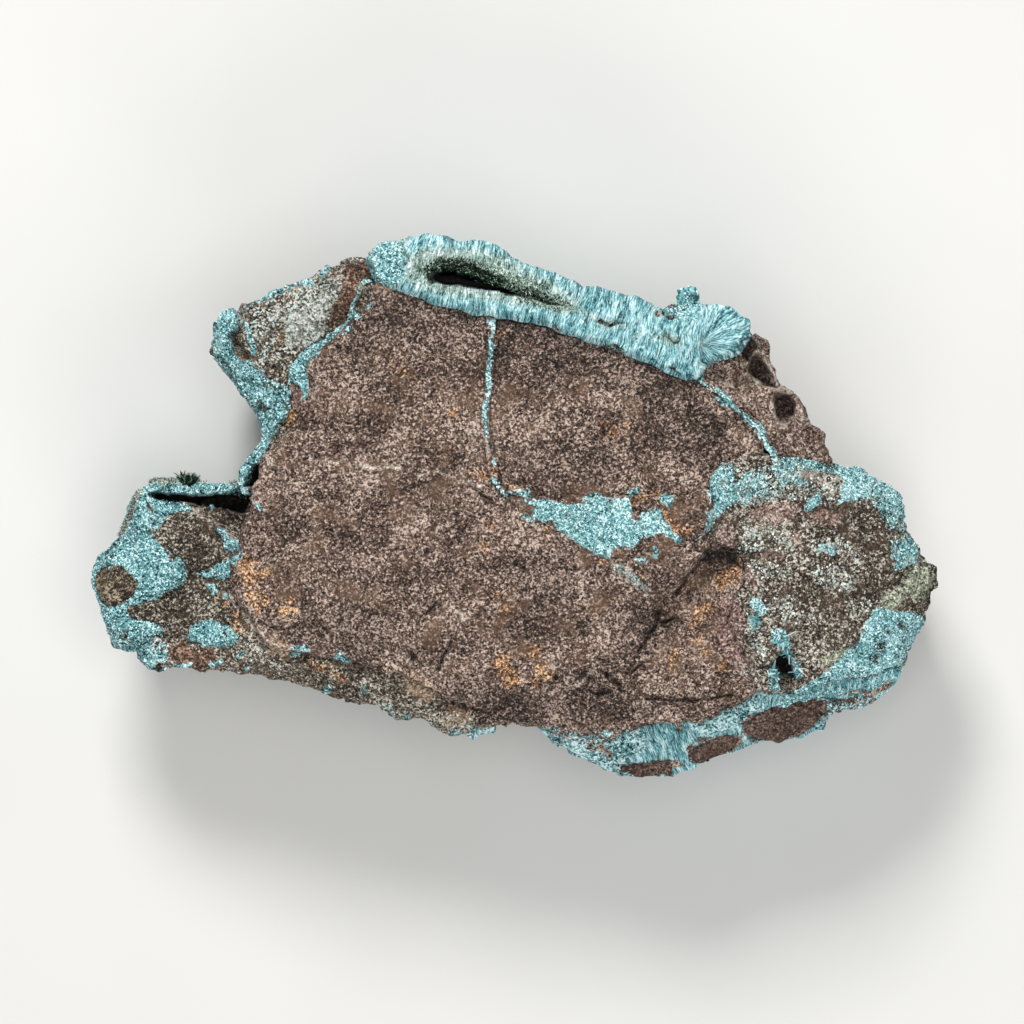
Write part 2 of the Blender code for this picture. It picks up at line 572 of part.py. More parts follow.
def build_veins(blue, brown, green):
    """The veins, and what sits in their hollows."""
    top_face = Face(0.8, rounding=1.6)
    top_vein = through_piece(
        "top_vein",
        around(VEIN_FOOT_LEFT, VEIN_FOOT_RIGHT, VEIN_END, VEIN_TOP, VEIN_START),
        top_face,
        blue,
    )
    knob(top_vein, "knob")
    crust = pocketed_fragment(top_vein, "vug_crust", VUG, top_face, VUG_DEPTH, green)
    hollow(crust, "vug_hollow", VUG_HOLLOW, 0.0, VUG_HOLLOW_DEPTH)

    through_piece(
        "left_vein",
        around(
            RIM_OUTER,
            backwards(BLOCK_LEFT),
            LEFT_VEIN_INNER,
            backwards(LEFT_VEIN_OUTER),
            backwards(RIM_INNER),
        ),
        Face(-1.7, lumps=(((-15.0, 16.5), (4.0, 4.0), 1.2),), rounding=2.0, rough=0.8),
        blue,
    )
    through_piece(
        "upright_vein",
        around(
            [(-2.6, 17.2)],
            UPRIGHT_LEFT,
            [(-2.2, 2.1), (-1.4, 2.1)],
            backwards(UPRIGHT_RIGHT),
            [(-1.8, 17.0)],
        ),
        Face(0.1),
        blue,
    )
    through_piece(
        "slanted_vein",
        around(
            [(16.4, 11.3)],
            SLANTED_LOWER,
            [(23.1, 4.4), (23.9, 4.3)],
            backwards(SLANTED_UPPER),
            [(17.0, 11.9)],
        ),
        Face(-0.4),
        blue,
    )
    through_piece(
        "ledge_crust",
        around(LEDGE_TOP, backwards(LEDGE_END), backwards(LEDGE_FOOT)),
        Face(
            -0.1,
            lumps=(((5.5, -0.6), (4.0, 2.0), 0.9), ((12.5, -0.8), (3.5, 2.0), 0.5)),
            rough=0.8,
        ),
        blue,
    )

    lower_face = Face(
        -1.9,
        lumps=(((-29.0, 1.6), (6.0, 0.9), 0.8), ((-30.5, -5.6), (1.6, 1.4), 0.9)),
        rounding=3.0,
        rough=0.9,
    )
    lower_left = through_piece(
        "lower_left_crust",
        around(LOWER_LEFT_OUTER, BOTTOM_LEFT_TOP, backwards(LOWER_LEFT_RIGHT)),
        lower_face,
        blue,
    )
    hollow(lower_left, "slot", SLOT, 0.0, SLOT_DEPTH)
    for name, outline in (
        ("diamond_fragment", DIAMOND_FRAGMENT),
        ("round_fragment", ROUND_FRAGMENT),
        ("wedge_fragment", WEDGE_FRAGMENT),
    ):
        pocketed_fragment(lower_left, name, outline, lower_face, FRAGMENT_DEPTH, brown)

    bottom_face = Face(-1.6, rounding=2.6, rough=0.8)
    bottom_vein = through_piece(
        "bottom_vein",
        around(BOTTOM_VEIN_OUTER, backwards(LOBE_FOOT), backwards(BOTTOM_VEIN_INNER)),
        bottom_face,
        blue,
    )
    for name, outline in (
        ("right_fragment", RIGHT_FRAGMENT),
        ("middle_fragment", MIDDLE_FRAGMENT),
        ("low_fragment", LOW_FRAGMENT),
    ):
        pocketed_fragment(bottom_vein, name, outline, bottom_face, SMALL_FRAGMENT_DEPTH, brown)


def main():
    for old in list(bpy.data.objects):
        bpy.data.objects.remove(old)
    brown = material("brown_rock", (0.085, 0.055, 0.045), 0.9)
    grey_brown = material("grey_brown_rock", (0.13, 0.1, 0.075), 0.9)
    blue = material("shattuckite", (0.2, 0.46, 0.52), 0.75)
    green = material("malachite", (0.01, 0.09, 0.045), 0.5)
    build_rock(brown, grey_brown)
    build_veins(blue, brown, green)


main()
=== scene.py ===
# %% [markdown]
# # Shattuckite in broken rock
#
# The real thing is a hand specimen: pieces of dark brown rock that broke apart and were
# cemented together again by pale blue shattuckite. The CAD model is loaded as a fixed frame.
# Each CAD piece gets a finely shaped double here, which takes its place in the picture.

import itertools

import bmesh
import bpy
import numpy as np
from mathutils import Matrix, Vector
from mathutils.bvhtree import BVHTree


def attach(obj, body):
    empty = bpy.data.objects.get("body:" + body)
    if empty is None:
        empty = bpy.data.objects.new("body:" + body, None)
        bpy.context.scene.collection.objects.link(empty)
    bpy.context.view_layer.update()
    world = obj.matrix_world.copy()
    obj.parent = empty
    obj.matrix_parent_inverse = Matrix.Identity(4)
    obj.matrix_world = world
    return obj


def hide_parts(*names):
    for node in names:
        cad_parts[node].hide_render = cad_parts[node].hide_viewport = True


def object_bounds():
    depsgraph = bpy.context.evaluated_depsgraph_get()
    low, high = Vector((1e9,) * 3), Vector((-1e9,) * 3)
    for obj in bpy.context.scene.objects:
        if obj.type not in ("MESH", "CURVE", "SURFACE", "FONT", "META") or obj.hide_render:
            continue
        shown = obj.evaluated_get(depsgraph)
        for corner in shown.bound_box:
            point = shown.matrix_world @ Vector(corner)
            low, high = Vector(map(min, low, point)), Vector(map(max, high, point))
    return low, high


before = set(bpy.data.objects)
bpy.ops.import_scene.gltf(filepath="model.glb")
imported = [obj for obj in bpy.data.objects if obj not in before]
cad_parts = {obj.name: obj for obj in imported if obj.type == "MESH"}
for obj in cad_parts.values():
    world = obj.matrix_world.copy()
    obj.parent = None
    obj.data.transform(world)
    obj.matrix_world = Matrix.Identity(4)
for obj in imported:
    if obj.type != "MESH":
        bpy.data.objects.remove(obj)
cad_low, cad_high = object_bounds()
print("CAD nodes:", len(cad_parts), "box", [round(v, 4) for v in cad_high - cad_low])

# %% [markdown]
# Shapes are worked on in millimetres, because most details here are tenths of a millimetre.
# Marks on the display face are written as pixels of the photograph, which is 0.09 mm to the
# pixel, and `spot` brings them to the frame. The CAD face stands a little wider than its
# drawing, and `SPREAD` repeats that.

# %% Places on the display face
MM = 0.001
PIXEL = 0.09
PHOTO_MIDDLE = (515.0, 506.5)
SHIFT = (0.03, -0.22)
MIDDLE_LINE = 20.0
SPREAD = 0.0124


def spot(pixels):
    """Pixels of the photograph as X and Y in millimetres."""
    pixels = np.asarray(pixels, float).reshape(-1, 2)
    x = (pixels[:, 0] - PHOTO_MIDDLE[0]) * PIXEL
    y = (PHOTO_MIDDLE[1] - pixels[:, 1]) * PIXEL
    x = x + SPREAD * (x - np.clip(x, -MIDDLE_LINE, MIDDLE_LINE))
    y = y + SPREAD * y
    return np.stack([x + SHIFT[0], y + SHIFT[1]], axis=1)


print("image middle at", spot((512, 512)).round(2))

# %% [markdown]
# Broken rock is rough at every size: waves of centimetres, steps of millimetres, grains of
# tenths. `waves` is smooth noise, and `rugged` adds finer and finer waves to it. They are
# worked out for whole arrays of points at once, so a mesh of a hundred thousand points takes
# a moment.


# %% Waves
def scramble(cells, seed):
    """A repeatable whole number for each cell of a lattice."""
    cells = cells.astype(np.uint32)
    mixed = cells[:, 0] * np.uint32(374761393) + cells[:, 1] * np.uint32(668265263)
    mixed = mixed + cells[:, 2] * np.uint32(3266489917) + np.uint32(seed * 2654435761 % 2**32)
    mixed = (mixed ^ (mixed >> np.uint32(13))) * np.uint32(1274126177)
    return mixed ^ (mixed >> np.uint32(16))


def waves(points, size, seed=0):
    """Smooth noise from about -1 to 1."""
    place = points / size
    corner = np.floor(place)
    part = place - corner
    fade = part * part * (3.0 - 2.0 * part)
    total = np.zeros(len(points))
    for step in itertools.product((0, 1), repeat=3):
        key = scramble((corner + step).astype(np.int64), seed)
        weight = np.ones(len(points))
        lean = np.zeros(len(points))
        for axis in range(3):
            weight = weight * (fade[:, axis] if step[axis] else 1.0 - fade[:, axis])
            sign = ((key >> np.uint32(axis + 3)) & np.uint32(1)).astype(float) * 2.0 - 1.0
            lean = lean + sign * (part[:, axis] - step[axis])
        total += weight * lean
    return total


def rugged(points, size, octaves, seed=0):
    """Waves with finer and fainter waves on them."""
    total = np.zeros(len(points))
    for octave in range(octaves):
        total += waves(points, size / 2**octave, seed + octave) / 2**octave
    return total


SAMPLE = np.stack([np.linspace(-20.0, 20.0, 500)] * 3, axis=1) * (1.0, 0.7, 0.3)
print("highest wave", waves(SAMPLE, 3.0).max().round(2))
print("highest rugged one", rugged(SAMPLE, 3.0, 3).max().round(2))

# %% [markdown]
# Under a lens the rock is a heap of grains. `grains` measures how far a point is from the
# middle of the nearest grain, so that each grain can stand up as a small dome. `ease` goes
# smoothly from 0 to 1, and every soft border here uses it.


# %% Grains
FAR = 9.0
SEATS = 511


def grains(points, size, seed=0):
    """Distance from the middle of the nearest grain, as a share of the grain's size."""
    place = points / size
    corner = np.floor(place)
    nearest = np.full(len(points), FAR)
    for step in itertools.product((-1, 0, 1), repeat=3):
        cell = corner + step
        key = scramble(cell.astype(np.int64), seed)
        away = np.zeros(len(points))
        for axis in range(3):
            seat = ((key >> np.uint32(axis * 9)) & np.uint32(SEATS)).astype(float) / SEATS
            away += (cell[:, axis] + seat - place[:, axis]) ** 2
        nearest = np.minimum(nearest, away)
    return np.sqrt(nearest)


def ease(values, low, high):
    """From 0 to 1 between two values."""
    share = np.clip((values - low) / (high - low), 0.0, 1.0)
    return share * share * (3.0 - 2.0 * share)


print("farthest from a grain's middle:", grains(SAMPLE, 0.5).max().round(2), "of its size")

# %% [markdown]
# Marks are areas, lines and dots on the display face, such as a patch of rust or a thin
# quartz veinlet. The colours use them, and so does the relief, so that a blue crust is raised
# exactly where it is blue. First come the distance from a line and the test for an outline.


# %% Distances on the face
def to_line(flat, line):
    """Distance of points from a line, in the plane of the face."""
    least = np.full(len(flat), 1e9)
    for start, end in zip(line[:-1], line[1:]):
        along = end - start
        share = np.clip(((flat - start) @ along) / max(along @ along, 1e-9), 0.0, 1.0)
        away = flat - start - share[:, None] * along
        least = np.minimum(least, (away**2).sum(axis=1))
    return np.sqrt(least)


def within(flat, outline):
    """Whether points lie inside a closed outline."""
    inside = np.zeros(len(flat), bool)
    for start, end in zip(outline, np.roll(outline, -1, axis=0)):
        crosses = (start[1] > flat[:, 1]) != (end[1] > flat[:, 1])
        rise = end[1] - start[1]
        reach = start[0] + (end[0] - start[0]) * (flat[:, 1] - start[1]) / (rise if rise else 1e-9)
        inside ^= crosses & (flat[:, 0] < reach)
    return inside


SQUARE = np.array([(0.0, 0.0), (1.0, 0.0), (1.0, 1.0), (0.0, 1.0)])
PROBES = np.array([(0.5, 0.5), (2.0, 0.5)])
print("inside a square:", within(PROBES, SQUARE), "from its sides:", to_line(PROBES, SQUARE))

# %% [markdown]
# `area`, `line` and `dot` turn pixels into a mark. `field` gives each point of a mesh its
# distance inside the nearest mark, and minus its distance outside it. A mark is only looked
# at near by; farther away `NOWHERE` stands for a place well outside.


# %% Marks
def area(*pixels):
    """What lies inside an outline."""
    return ("area", spot(pixels), 0.0)


def line(half_width, *pixels):
    """A stroke along some pixels."""
    return ("line", spot(pixels), half_width * PIXEL)


def dot(radius, *pixels):
    """A round spot at each pixel."""
    return ("dot", spot(pixels), radius * PIXEL)


NOWHERE = -6.0
MARGIN = 2.0


def field(points, marks):
    """How far inside the marks each point is, in millimetres."""
    flat = points[:, :2]
    found = np.full(len(points), NOWHERE)
    for kind, places, half_width in marks:
        low = places.min(axis=0) - half_width - MARGIN
        high = places.max(axis=0) + half_width + MARGIN
        near = np.flatnonzero(((flat > low) & (flat < high)).all(axis=1))
        if not len(near):
            continue
        some = flat[near]
        if kind == "area":
            away = to_line(some, np.vstack([places, places[:1]]))
            depth = np.where(within(some, places), away, -away)
        elif kind == "line":
            depth = half_width - to_line(some, places)
        else:
            away = [np.linalg.norm(some - place, axis=1) for place in places]
            depth = half_width - np.min(away, axis=0)
        found[near] = np.maximum(found[near], depth)
    return found


def corners(marks):
    """How many pixels a list of marks names."""
    return sum(len(places) for _, places, _ in marks)


print("middle of a dot of 4 pixels:", field(spot((600, 400)), [dot(4, (600, 400))]).round(2), "mm")

# %% [markdown]
# These are the marks themselves, in pixels of the photograph. The top vein is one band of
# pale blue fibres, from the hollow at its left to the stub at its right. One outline is
# enough for it, because noise frays every edge later.

# %% The top vein's outline
TOP_VEIN = [
    area((366, 258), (374, 250), (382, 243), (390, 241), (396, 244), (406, 241), (414, 236),
         (430, 235), (452, 236), (463, 241), (474, 239), (488, 243), (500, 249), (512, 256),
         (524, 262), (536, 266), (552, 271), (571, 280), (596, 288), (610, 291), (621, 295),
         (635, 297), (653, 304), (660, 308), (674, 308), (680, 302), (678, 297), (680, 288),
         (694, 283), (701, 288), (698, 299), (701, 302), (714, 305), (731, 307), (739, 313),
         (749, 320), (755, 328), (749, 336), (742, 345), (730, 354), (721, 361), (706, 363),
         (701, 363), (703, 377), (705, 383), (699, 383), (692, 376), (683, 376), (674, 368),
         (663, 367), (653, 361), (644, 358), (637, 354), (626, 354), (619, 347), (604, 345),
         (594, 340), (580, 338), (562, 331), (544, 325), (519, 320), (503, 315), (488, 315),
         (474, 312), (460, 309), (449, 307), (436, 305), (426, 301), (417, 295), (406, 291),
         (393, 285), (382, 281), (374, 279), (375, 274), (371, 266)),
]
print("top vein:", corners(TOP_VEIN), "corners")

# %% [markdown]
# Two thin veins go down from it, one upright and one slanting to the right lobe. They are
# about half a millimetre wide, swell and break off, so they are drawn as short strokes.

# %% The thin veins
VEINLETS = [
    # The upright vein
    line(1.6, (489, 314), (493, 330), (490, 341)),
    line(2.1, (490, 341), (492, 355), (489, 373), (488, 390)),
    line(1.7, (488, 390), (487, 398), (486, 408)),
    line(2.7, (485, 410), (485, 416), (486, 422), (487, 430)),
    line(2.2, (487, 430), (486, 438)),
    line(1.4, (489, 442), (493, 451), (495, 460), (495, 466)),
    line(2.0, (493, 477), (495, 481)),
    line(4.2, (493, 482), (504, 490), (508, 494)),
    line(3.4, (508, 494), (516, 492), (526, 491)),
    line(4.2, (525, 493), (529, 500), (537, 503)),
    line(1.8, (508, 495), (506, 500), (510, 502)),
    # The slanted vein
    line(2.1, (699, 380), (703, 384), (713, 390)),
    area((713, 389), (718, 385), (726, 392), (732, 396), (736, 405), (736, 410), (727, 407),
         (717, 402), (713, 395)),
    line(2.3, (735, 408), (743, 413), (748, 419)),
    line(3.2, (747, 418), (756, 424), (762, 427), (765, 434)),
    line(3.0, (765, 434), (768, 440), (769, 446), (773, 450)),
    line(3.4, (773, 450), (776, 456), (778, 461)),
    line(1.8, (767, 448), (767, 457)),
]
print("thin veins:", len(VEINLETS), "marks")

# %% [markdown]
# In the middle the broken face steps down, and the ledge carries a thin crust with ragged
# tongues and a few loose crumbs.

# %% The ledge
LEDGE = [
    area((534, 500), (544, 499), (555, 502), (569, 505), (590, 506), (582, 502), (585, 495),
         (598, 492), (607, 496), (610, 506), (612, 499), (630, 499), (632, 508), (632, 519),
         (641, 522), (643, 534), (641, 540), (635, 547), (626, 545), (617, 545), (611, 550),
         (609, 559), (601, 559), (592, 556), (582, 547), (566, 535), (557, 529), (553, 521),
         (544, 521), (533, 519)),
    area((640, 516), (652, 508), (660, 507), (662, 518), (671, 527), (668, 532), (659, 532),
         (649, 537), (643, 534)),
    area((663, 492), (672, 493), (674, 501), (668, 507), (662, 500)),
    line(4, (631, 493), (638, 491)),
    line(2.2, (522, 516), (532, 520)),
    line(2.6, (670, 534), (680, 541)),
    line(2.2, (655, 546), (660, 555), (646, 559), (638, 562)),
    dot(1.8, (622, 569), (628, 575), (636, 578), (643, 585)),
]
print("ledge:", len(LEDGE), "marks")

# %% [markdown]
# Down the left edge runs a rim of crust with a neck, and at the lower left the crust is broad.
# Its upper rim is a thin roof over a slot.

# %% The crusts at the left
LEFT = [
    # The rim and its neck
    area((236, 305), (228, 307), (219, 315), (213, 326), (211, 336), (214, 343), (211, 349),
         (212, 355), (219, 359), (226, 364), (232, 374), (238, 387), (246, 401), (250, 411),
         (257, 422), (261, 434), (252, 446), (246, 456), (240, 470), (238, 484), (236, 495),
         (240, 499), (246, 498), (247, 486), (250, 476), (255, 466), (262, 455), (266, 444),
         (275, 432), (284, 420), (289, 408), (288, 391), (282, 385), (271, 383), (257, 373),
         (254, 364), (246, 360), (240, 362), (234, 352), (227, 342), (229, 332), (235, 325),
         (237, 315)),
    area((348, 317), (356, 311), (359, 316), (352, 327), (344, 335), (338, 339), (335, 342),
         (323, 350), (315, 358), (306, 364), (307, 373), (308, 385), (306, 401), (302, 400),
         (301, 391), (294, 385), (288, 378), (287, 372), (292, 362), (300, 355), (310, 349),
         (321, 341), (331, 336), (341, 328)),
    line(2.6, (243, 312), (251, 303), (259, 304), (271, 297), (282, 290), (294, 284), (308, 281)),
    line(3.2, (341, 257), (350, 256), (359, 257)),
    line(1.5, (318, 277), (326, 270), (333, 264), (340, 258)),
    line(2.0, (371, 297), (374, 303), (366, 309)),
    line(1.2, (372, 281), (364, 284), (357, 298), (350, 312)),
    line(2.2, (246, 325), (248, 340), (252, 352)),
    line(1.8, (255, 484), (252, 492), (253, 500), (258, 506)),
    # The lower left crust, with its thin roof
    area((97, 561), (114, 548), (121, 531), (130, 515), (136, 498), (139, 489), (150, 482),
         (159, 480), (177, 481), (196, 482), (240, 482), (240, 495), (216, 494), (193, 495),
         (163, 493), (152, 495), (152, 500), (161, 499), (175, 500), (185, 504), (192, 509),
         (184, 510), (174, 508), (159, 525), (151, 533), (157, 543), (163, 554), (173, 562),
         (177, 557), (182, 563), (187, 572), (185, 579), (170, 590), (147, 600), (124, 607),
         (130, 617), (142, 619), (152, 622), (163, 628), (152, 638), (166, 648), (166, 660),
         (150, 665), (138, 670), (120, 658), (105, 656), (99, 640), (97, 622), (93, 605),
         (90, 590), (89, 573)),
    area((192, 574), (205, 573), (214, 569), (228, 559), (234, 554), (236, 552), (231, 550),
         (225, 550), (220, 540), (210, 528), (220, 528), (228, 538), (238, 540), (238, 556),
         (232, 570), (228, 577), (220, 578), (205, 576)),
    area((205, 584), (216, 583), (218, 593), (209, 596)),
    area((188, 632), (198, 622), (212, 617), (226, 624), (237, 635), (236, 643), (222, 648),
         (205, 647), (190, 642)),
    line(2.4, (163, 668), (175, 664), (190, 662)),
    line(2.2, (211, 662), (222, 660)),
    area((287, 648), (296, 643), (306, 646), (312, 654), (300, 656), (290, 654)),
    area((329, 654), (336, 650), (344, 654), (354, 664), (350, 668), (338, 664)),
    area((372, 709), (385, 705), (405, 711), (412, 720), (395, 722), (380, 718)),
    line(3.4, (434, 729), (450, 732), (470, 733), (486, 729), (500, 730)),
    dot(3, (362, 690), (326, 690), (270, 664), (238, 656), (246, 668)),
]
print("left:", len(LEFT), "marks")

# %% [markdown]
# The right lobe is crusted in patches round its top and its foot. The vein along the lower
# right edge is a broad band that holds fragments of rock.

# %% The lobe and the bottom vein
LOBE = [
    area((708, 490), (715, 474), (722, 464), (732, 462), (736, 470), (738, 484), (744, 476),
         (751, 472), (761, 472), (769, 474), (767, 481), (770, 490), (767, 495), (749, 501),
         (735, 504), (726, 511), (717, 519), (712, 532), (708, 530), (709, 515), (713, 504)),
    area((784, 458), (792, 458), (804, 457), (826, 464), (847, 465), (862, 468), (877, 475),
         (890, 487), (904, 498), (910, 511), (912, 532), (904, 534), (892, 528), (888, 519),
         (879, 506), (869, 499), (851, 501), (842, 503), (843, 490), (845, 478), (833, 474),
         (815, 470), (800, 471), (790, 476), (778, 478), (770, 470)),
    area((804, 508), (812, 498), (822, 491), (825, 497), (818, 506), (806, 512)),
    dot(4, (784, 482), (797, 479), (801, 483)),
    area((892, 540), (907, 531), (917, 537), (922, 550), (918, 563), (906, 566), (897, 572),
         (892, 560)),
    area((869, 619), (879, 606), (895, 611), (914, 611), (930, 620), (924, 636), (917, 650),
         (906, 665), (888, 684), (864, 694), (838, 700), (815, 706), (797, 710), (783, 704),
         (781, 692), (801, 690), (815, 679), (829, 669), (844, 655), (861, 640)),
    dot(6, (757, 603), (761, 608)),
    dot(4, (756, 620), (758, 625), (822, 548), (832, 551)),
    dot(7, (778, 636), (784, 643)),
    area((768, 667), (774, 668), (779, 676), (779, 690), (773, 692), (769, 680)),
    line(3, (788, 650), (796, 663), (801, 673)),
]
BOTTOM_VEIN = [
    area((540, 727), (563, 728), (586, 731), (602, 729), (616, 731), (639, 725), (650, 720),
         (668, 718), (678, 722), (701, 720), (714, 713), (735, 706), (753, 697), (762, 688),
         (776, 690), (800, 700), (838, 700), (870, 697), (892, 688), (890, 704), (874, 718),
         (850, 724), (832, 732), (822, 744), (806, 748), (781, 750), (756, 755), (740, 763),
         (720, 770), (700, 776), (684, 780), (655, 783), (627, 781), (608, 772), (590, 760),
         (575, 752), (552, 740)),
]
print("lobe:", len(LOBE), "marks, bottom vein:", corners(BOTTOM_VEIN), "corners")

# %% [markdown]
# `BLUE` is all of these together, whichever piece they lie on. `BROWN` is what shows inside
# them as rock: the fragments, bare spots and dark crumbs. It is taken off the blue.

# %% Where blue lies
BLUE = TOP_VEIN + VEINLETS + LEDGE + LEFT + LOBE + BOTTOM_VEIN
BROWN = [
    # Fragments that lie in the crusts
    area((101, 568), (117, 568), (128, 571), (136, 580), (140, 584), (136, 592), (124, 600),
         (116, 607), (107, 608), (101, 603), (97, 592), (96, 580)),
    area((740, 718), (769, 706), (781, 702), (804, 702), (815, 700), (829, 704), (825, 716),
         (822, 725), (813, 734), (804, 741), (781, 743), (756, 741), (746, 734)),
    area((687, 746), (700, 739), (719, 732), (735, 731), (746, 737), (744, 748), (728, 757),
         (705, 762), (696, 757)),
    area((616, 770), (632, 764), (650, 757), (678, 758), (685, 764), (664, 771), (643, 773),
         (627, 773)),
    area((825, 695), (845, 694), (861, 689), (877, 690), (890, 680), (892, 684), (873, 697),
         (850, 701), (831, 700)),
    # Bare spots and dark crumbs
    line(2.5, (592, 743), (602, 750), (612, 754)),
    dot(3, (680, 727), (679, 729)),
    dot(3, (148, 505), (151, 510), (108, 640), (124, 636), (158, 640), (224, 634)),
    dot(2.5, (600, 322), (606, 325), (611, 328), (667, 314), (672, 317), (660, 316)),
    dot(2, (728, 482), (752, 488), (744, 494), (858, 488), (872, 492), (886, 500), (898, 520)),
    dot(2, (258, 406), (262, 409), (556, 524), (566, 518), (604, 541), (606, 553)),
    line(1.2, (556, 502), (554, 512)),
    line(1.2, (611, 498), (611, 508)),
    line(2, (486, 439), (488, 442)),
    dot(4, (882, 646), (892, 632), (902, 624), (876, 656)),
]

print("blue:", len(BLUE), "marks, brown:", len(BROWN))

# %% [markdown]
# Iron has stained the rock in small orange patches, mostly beside the veins. The right lobe
# has pinkish ones, of feldspar perhaps.

# %% Rust and pink
RUST = [
    area((236, 560), (245, 555), (254, 560), (256, 569), (270, 572), (268, 578), (256, 580),
         (246, 584), (240, 576)),
    line(3, (250, 594), (262, 596), (266, 604), (258, 607), (252, 601), (250, 594)),
    dot(5, (288, 602), (283, 612), (290, 608)),
    area((494, 664), (500, 653), (508, 652), (512, 664), (518, 680), (508, 686), (498, 676)),
    dot(5, (534, 652), (540, 668), (546, 674), (536, 676)),
    dot(3, (455, 415), (395, 360), (500, 335), (548, 529), (484, 546), (601, 561), (498, 596)),
    dot(3, (603, 426), (612, 430), (627, 424), (477, 473), (484, 475), (506, 610)),
    line(2.4, (664, 508), (670, 518), (676, 528), (684, 532), (687, 526)),
    line(2.4, (634, 505), (640, 502), (650, 497), (661, 494)),
    line(1.6, (498, 482), (506, 486), (514, 490), (526, 489)),
    area((691, 618), (700, 606), (712, 598), (714, 606), (704, 622), (694, 628)),
    area((716, 582), (726, 570), (742, 562), (744, 570), (734, 582), (720, 590)),
    area((668, 668), (670, 652), (676, 650), (678, 660), (674, 670)),
    dot(4, (726, 668), (728, 660), (700, 640), (706, 650)),
    area((281, 425), (286, 412), (293, 406), (298, 410), (295, 420), (288, 430)),
    dot(3.5, (241, 360), (338, 277), (352, 300), (278, 340)),
    line(1.6, (361, 286), (354, 300), (348, 313), (340, 326)),
    line(2.5, (310, 662), (322, 668), (334, 674), (341, 677)),
    area((230, 630), (231, 614), (236, 608), (240, 620), (237, 632)),
    dot(3.5, (218, 597), (224, 600), (899, 538), (906, 561), (493, 470)),
    dot(2.5, (338, 676), (491, 524), (643, 574), (386, 675)),
    line(2, (402, 372), (410, 378)),
]
PINK = [
    area((752, 512), (765, 503), (785, 501), (801, 508), (798, 520), (775, 524), (756, 521)),
    area((804, 516), (822, 511), (842, 514), (838, 524), (815, 525)),
    area((718, 532), (730, 526), (738, 534), (737, 546), (722, 544)),
    area((761, 552), (775, 547), (781, 555), (772, 562), (762, 560)),
    area((792, 536), (800, 533), (804, 545), (796, 549)),
    area((743, 566), (752, 563), (761, 582), (756, 588), (746, 580)),
    area((718, 602), (730, 592), (742, 604), (746, 625), (744, 650), (748, 664), (738, 668),
         (726, 654), (716, 632), (713, 616)),
    area((818, 476), (826, 473), (829, 484), (820, 487)),
    line(3, (486, 454), (488, 462), (490, 472)),
    area((287, 386), (296, 386), (301, 396), (298, 408), (290, 407)),
    line(2, (211, 527), (219, 533), (228, 541), (232, 546)),
    area((261, 636), (274, 634), (287, 644), (284, 652), (270, 648)),
    line(2.4, (312, 652), (322, 654)),
]
print("rust:", len(RUST), "marks, pink:", len(PINK))

# %% [markdown]
# Hair-thin veinlets of quartz cross the rock as pale lines. The crusts are greenish along the
# thin roof and at some outer edges.

# %% Pale lines and green edges
PALE = [
    line(0.8, (310, 462), (345, 463), (372, 468), (395, 469), (420, 476), (440, 473), (452, 480),
         (470, 483), (490, 487)),
    line(1.2, (264, 452), (268, 460), (271, 466)),
    line(1.6, (575, 687), (584, 680), (597, 670)),
    line(1.4, (458, 612), (464, 618)),
    line(1.5, (228, 594), (235, 605), (243, 618), (256, 630), (268, 640), (279, 648)),
    line(1.6, (191, 508), (205, 518), (213, 526), (226, 536), (237, 541)),
    area((797, 470), (806, 467), (817, 470), (816, 478), (805, 480), (798, 477)),
    line(1.3, (755, 335), (762, 354), (772, 372), (780, 388), (790, 393), (799, 401), (804, 418)),
    line(1.1, (758, 351), (749, 363), (744, 366)),
    line(1.4, (749, 376), (760, 383), (776, 390)),
    line(2.2, (762, 333), (772, 343), (776, 365), (778, 381)),
    line(1.3, (774, 404), (776, 418), (785, 426)),
    dot(1.5, (767, 375), (648, 562), (620, 570), (470, 432)),
    line(1.6, (250, 470), (254, 462), (262, 452)),
    line(1.2, (486, 442), (489, 450), (488, 458)),
    line(1.2, (740, 462), (748, 457), (760, 458), (768, 462)),
]
GREEN = [
    line(2.5, (138, 490), (132, 504), (128, 518), (120, 532), (116, 544)),
    line(2.5, (150, 482), (176, 480), (190, 478), (205, 481), (225, 482), (238, 483)),
    dot(4, (183, 476), (188, 475)),
    area((500, 288), (520, 290), (545, 296), (556, 306), (545, 308), (520, 300), (505, 296)),
    dot(3, (93, 571), (110, 640), (116, 646), (108, 650), (92, 584), (104, 650), (126, 648)),
    area((819, 654), (832, 648), (850, 650), (840, 660), (824, 663)),
    area((905, 568), (918, 562), (931, 569), (938, 581), (937, 594), (925, 600), (912, 597),
         (903, 589)),
    area((884, 596), (900, 588), (906, 600), (896, 610), (884, 606)),
    dot(2.5, (674, 338), (672, 343), (664, 338), (678, 341)),
    line(2, (213, 344), (216, 358), (230, 378), (244, 404), (252, 420)),
]
print("pale:", len(PALE), "marks, green:", len(GREEN))

# %% [markdown]
# In some places the rock is strewn with light grains, and in others it is frosted with fine
# pale crystals: round the hollow, and at the upper left. Three areas are reddish brown.

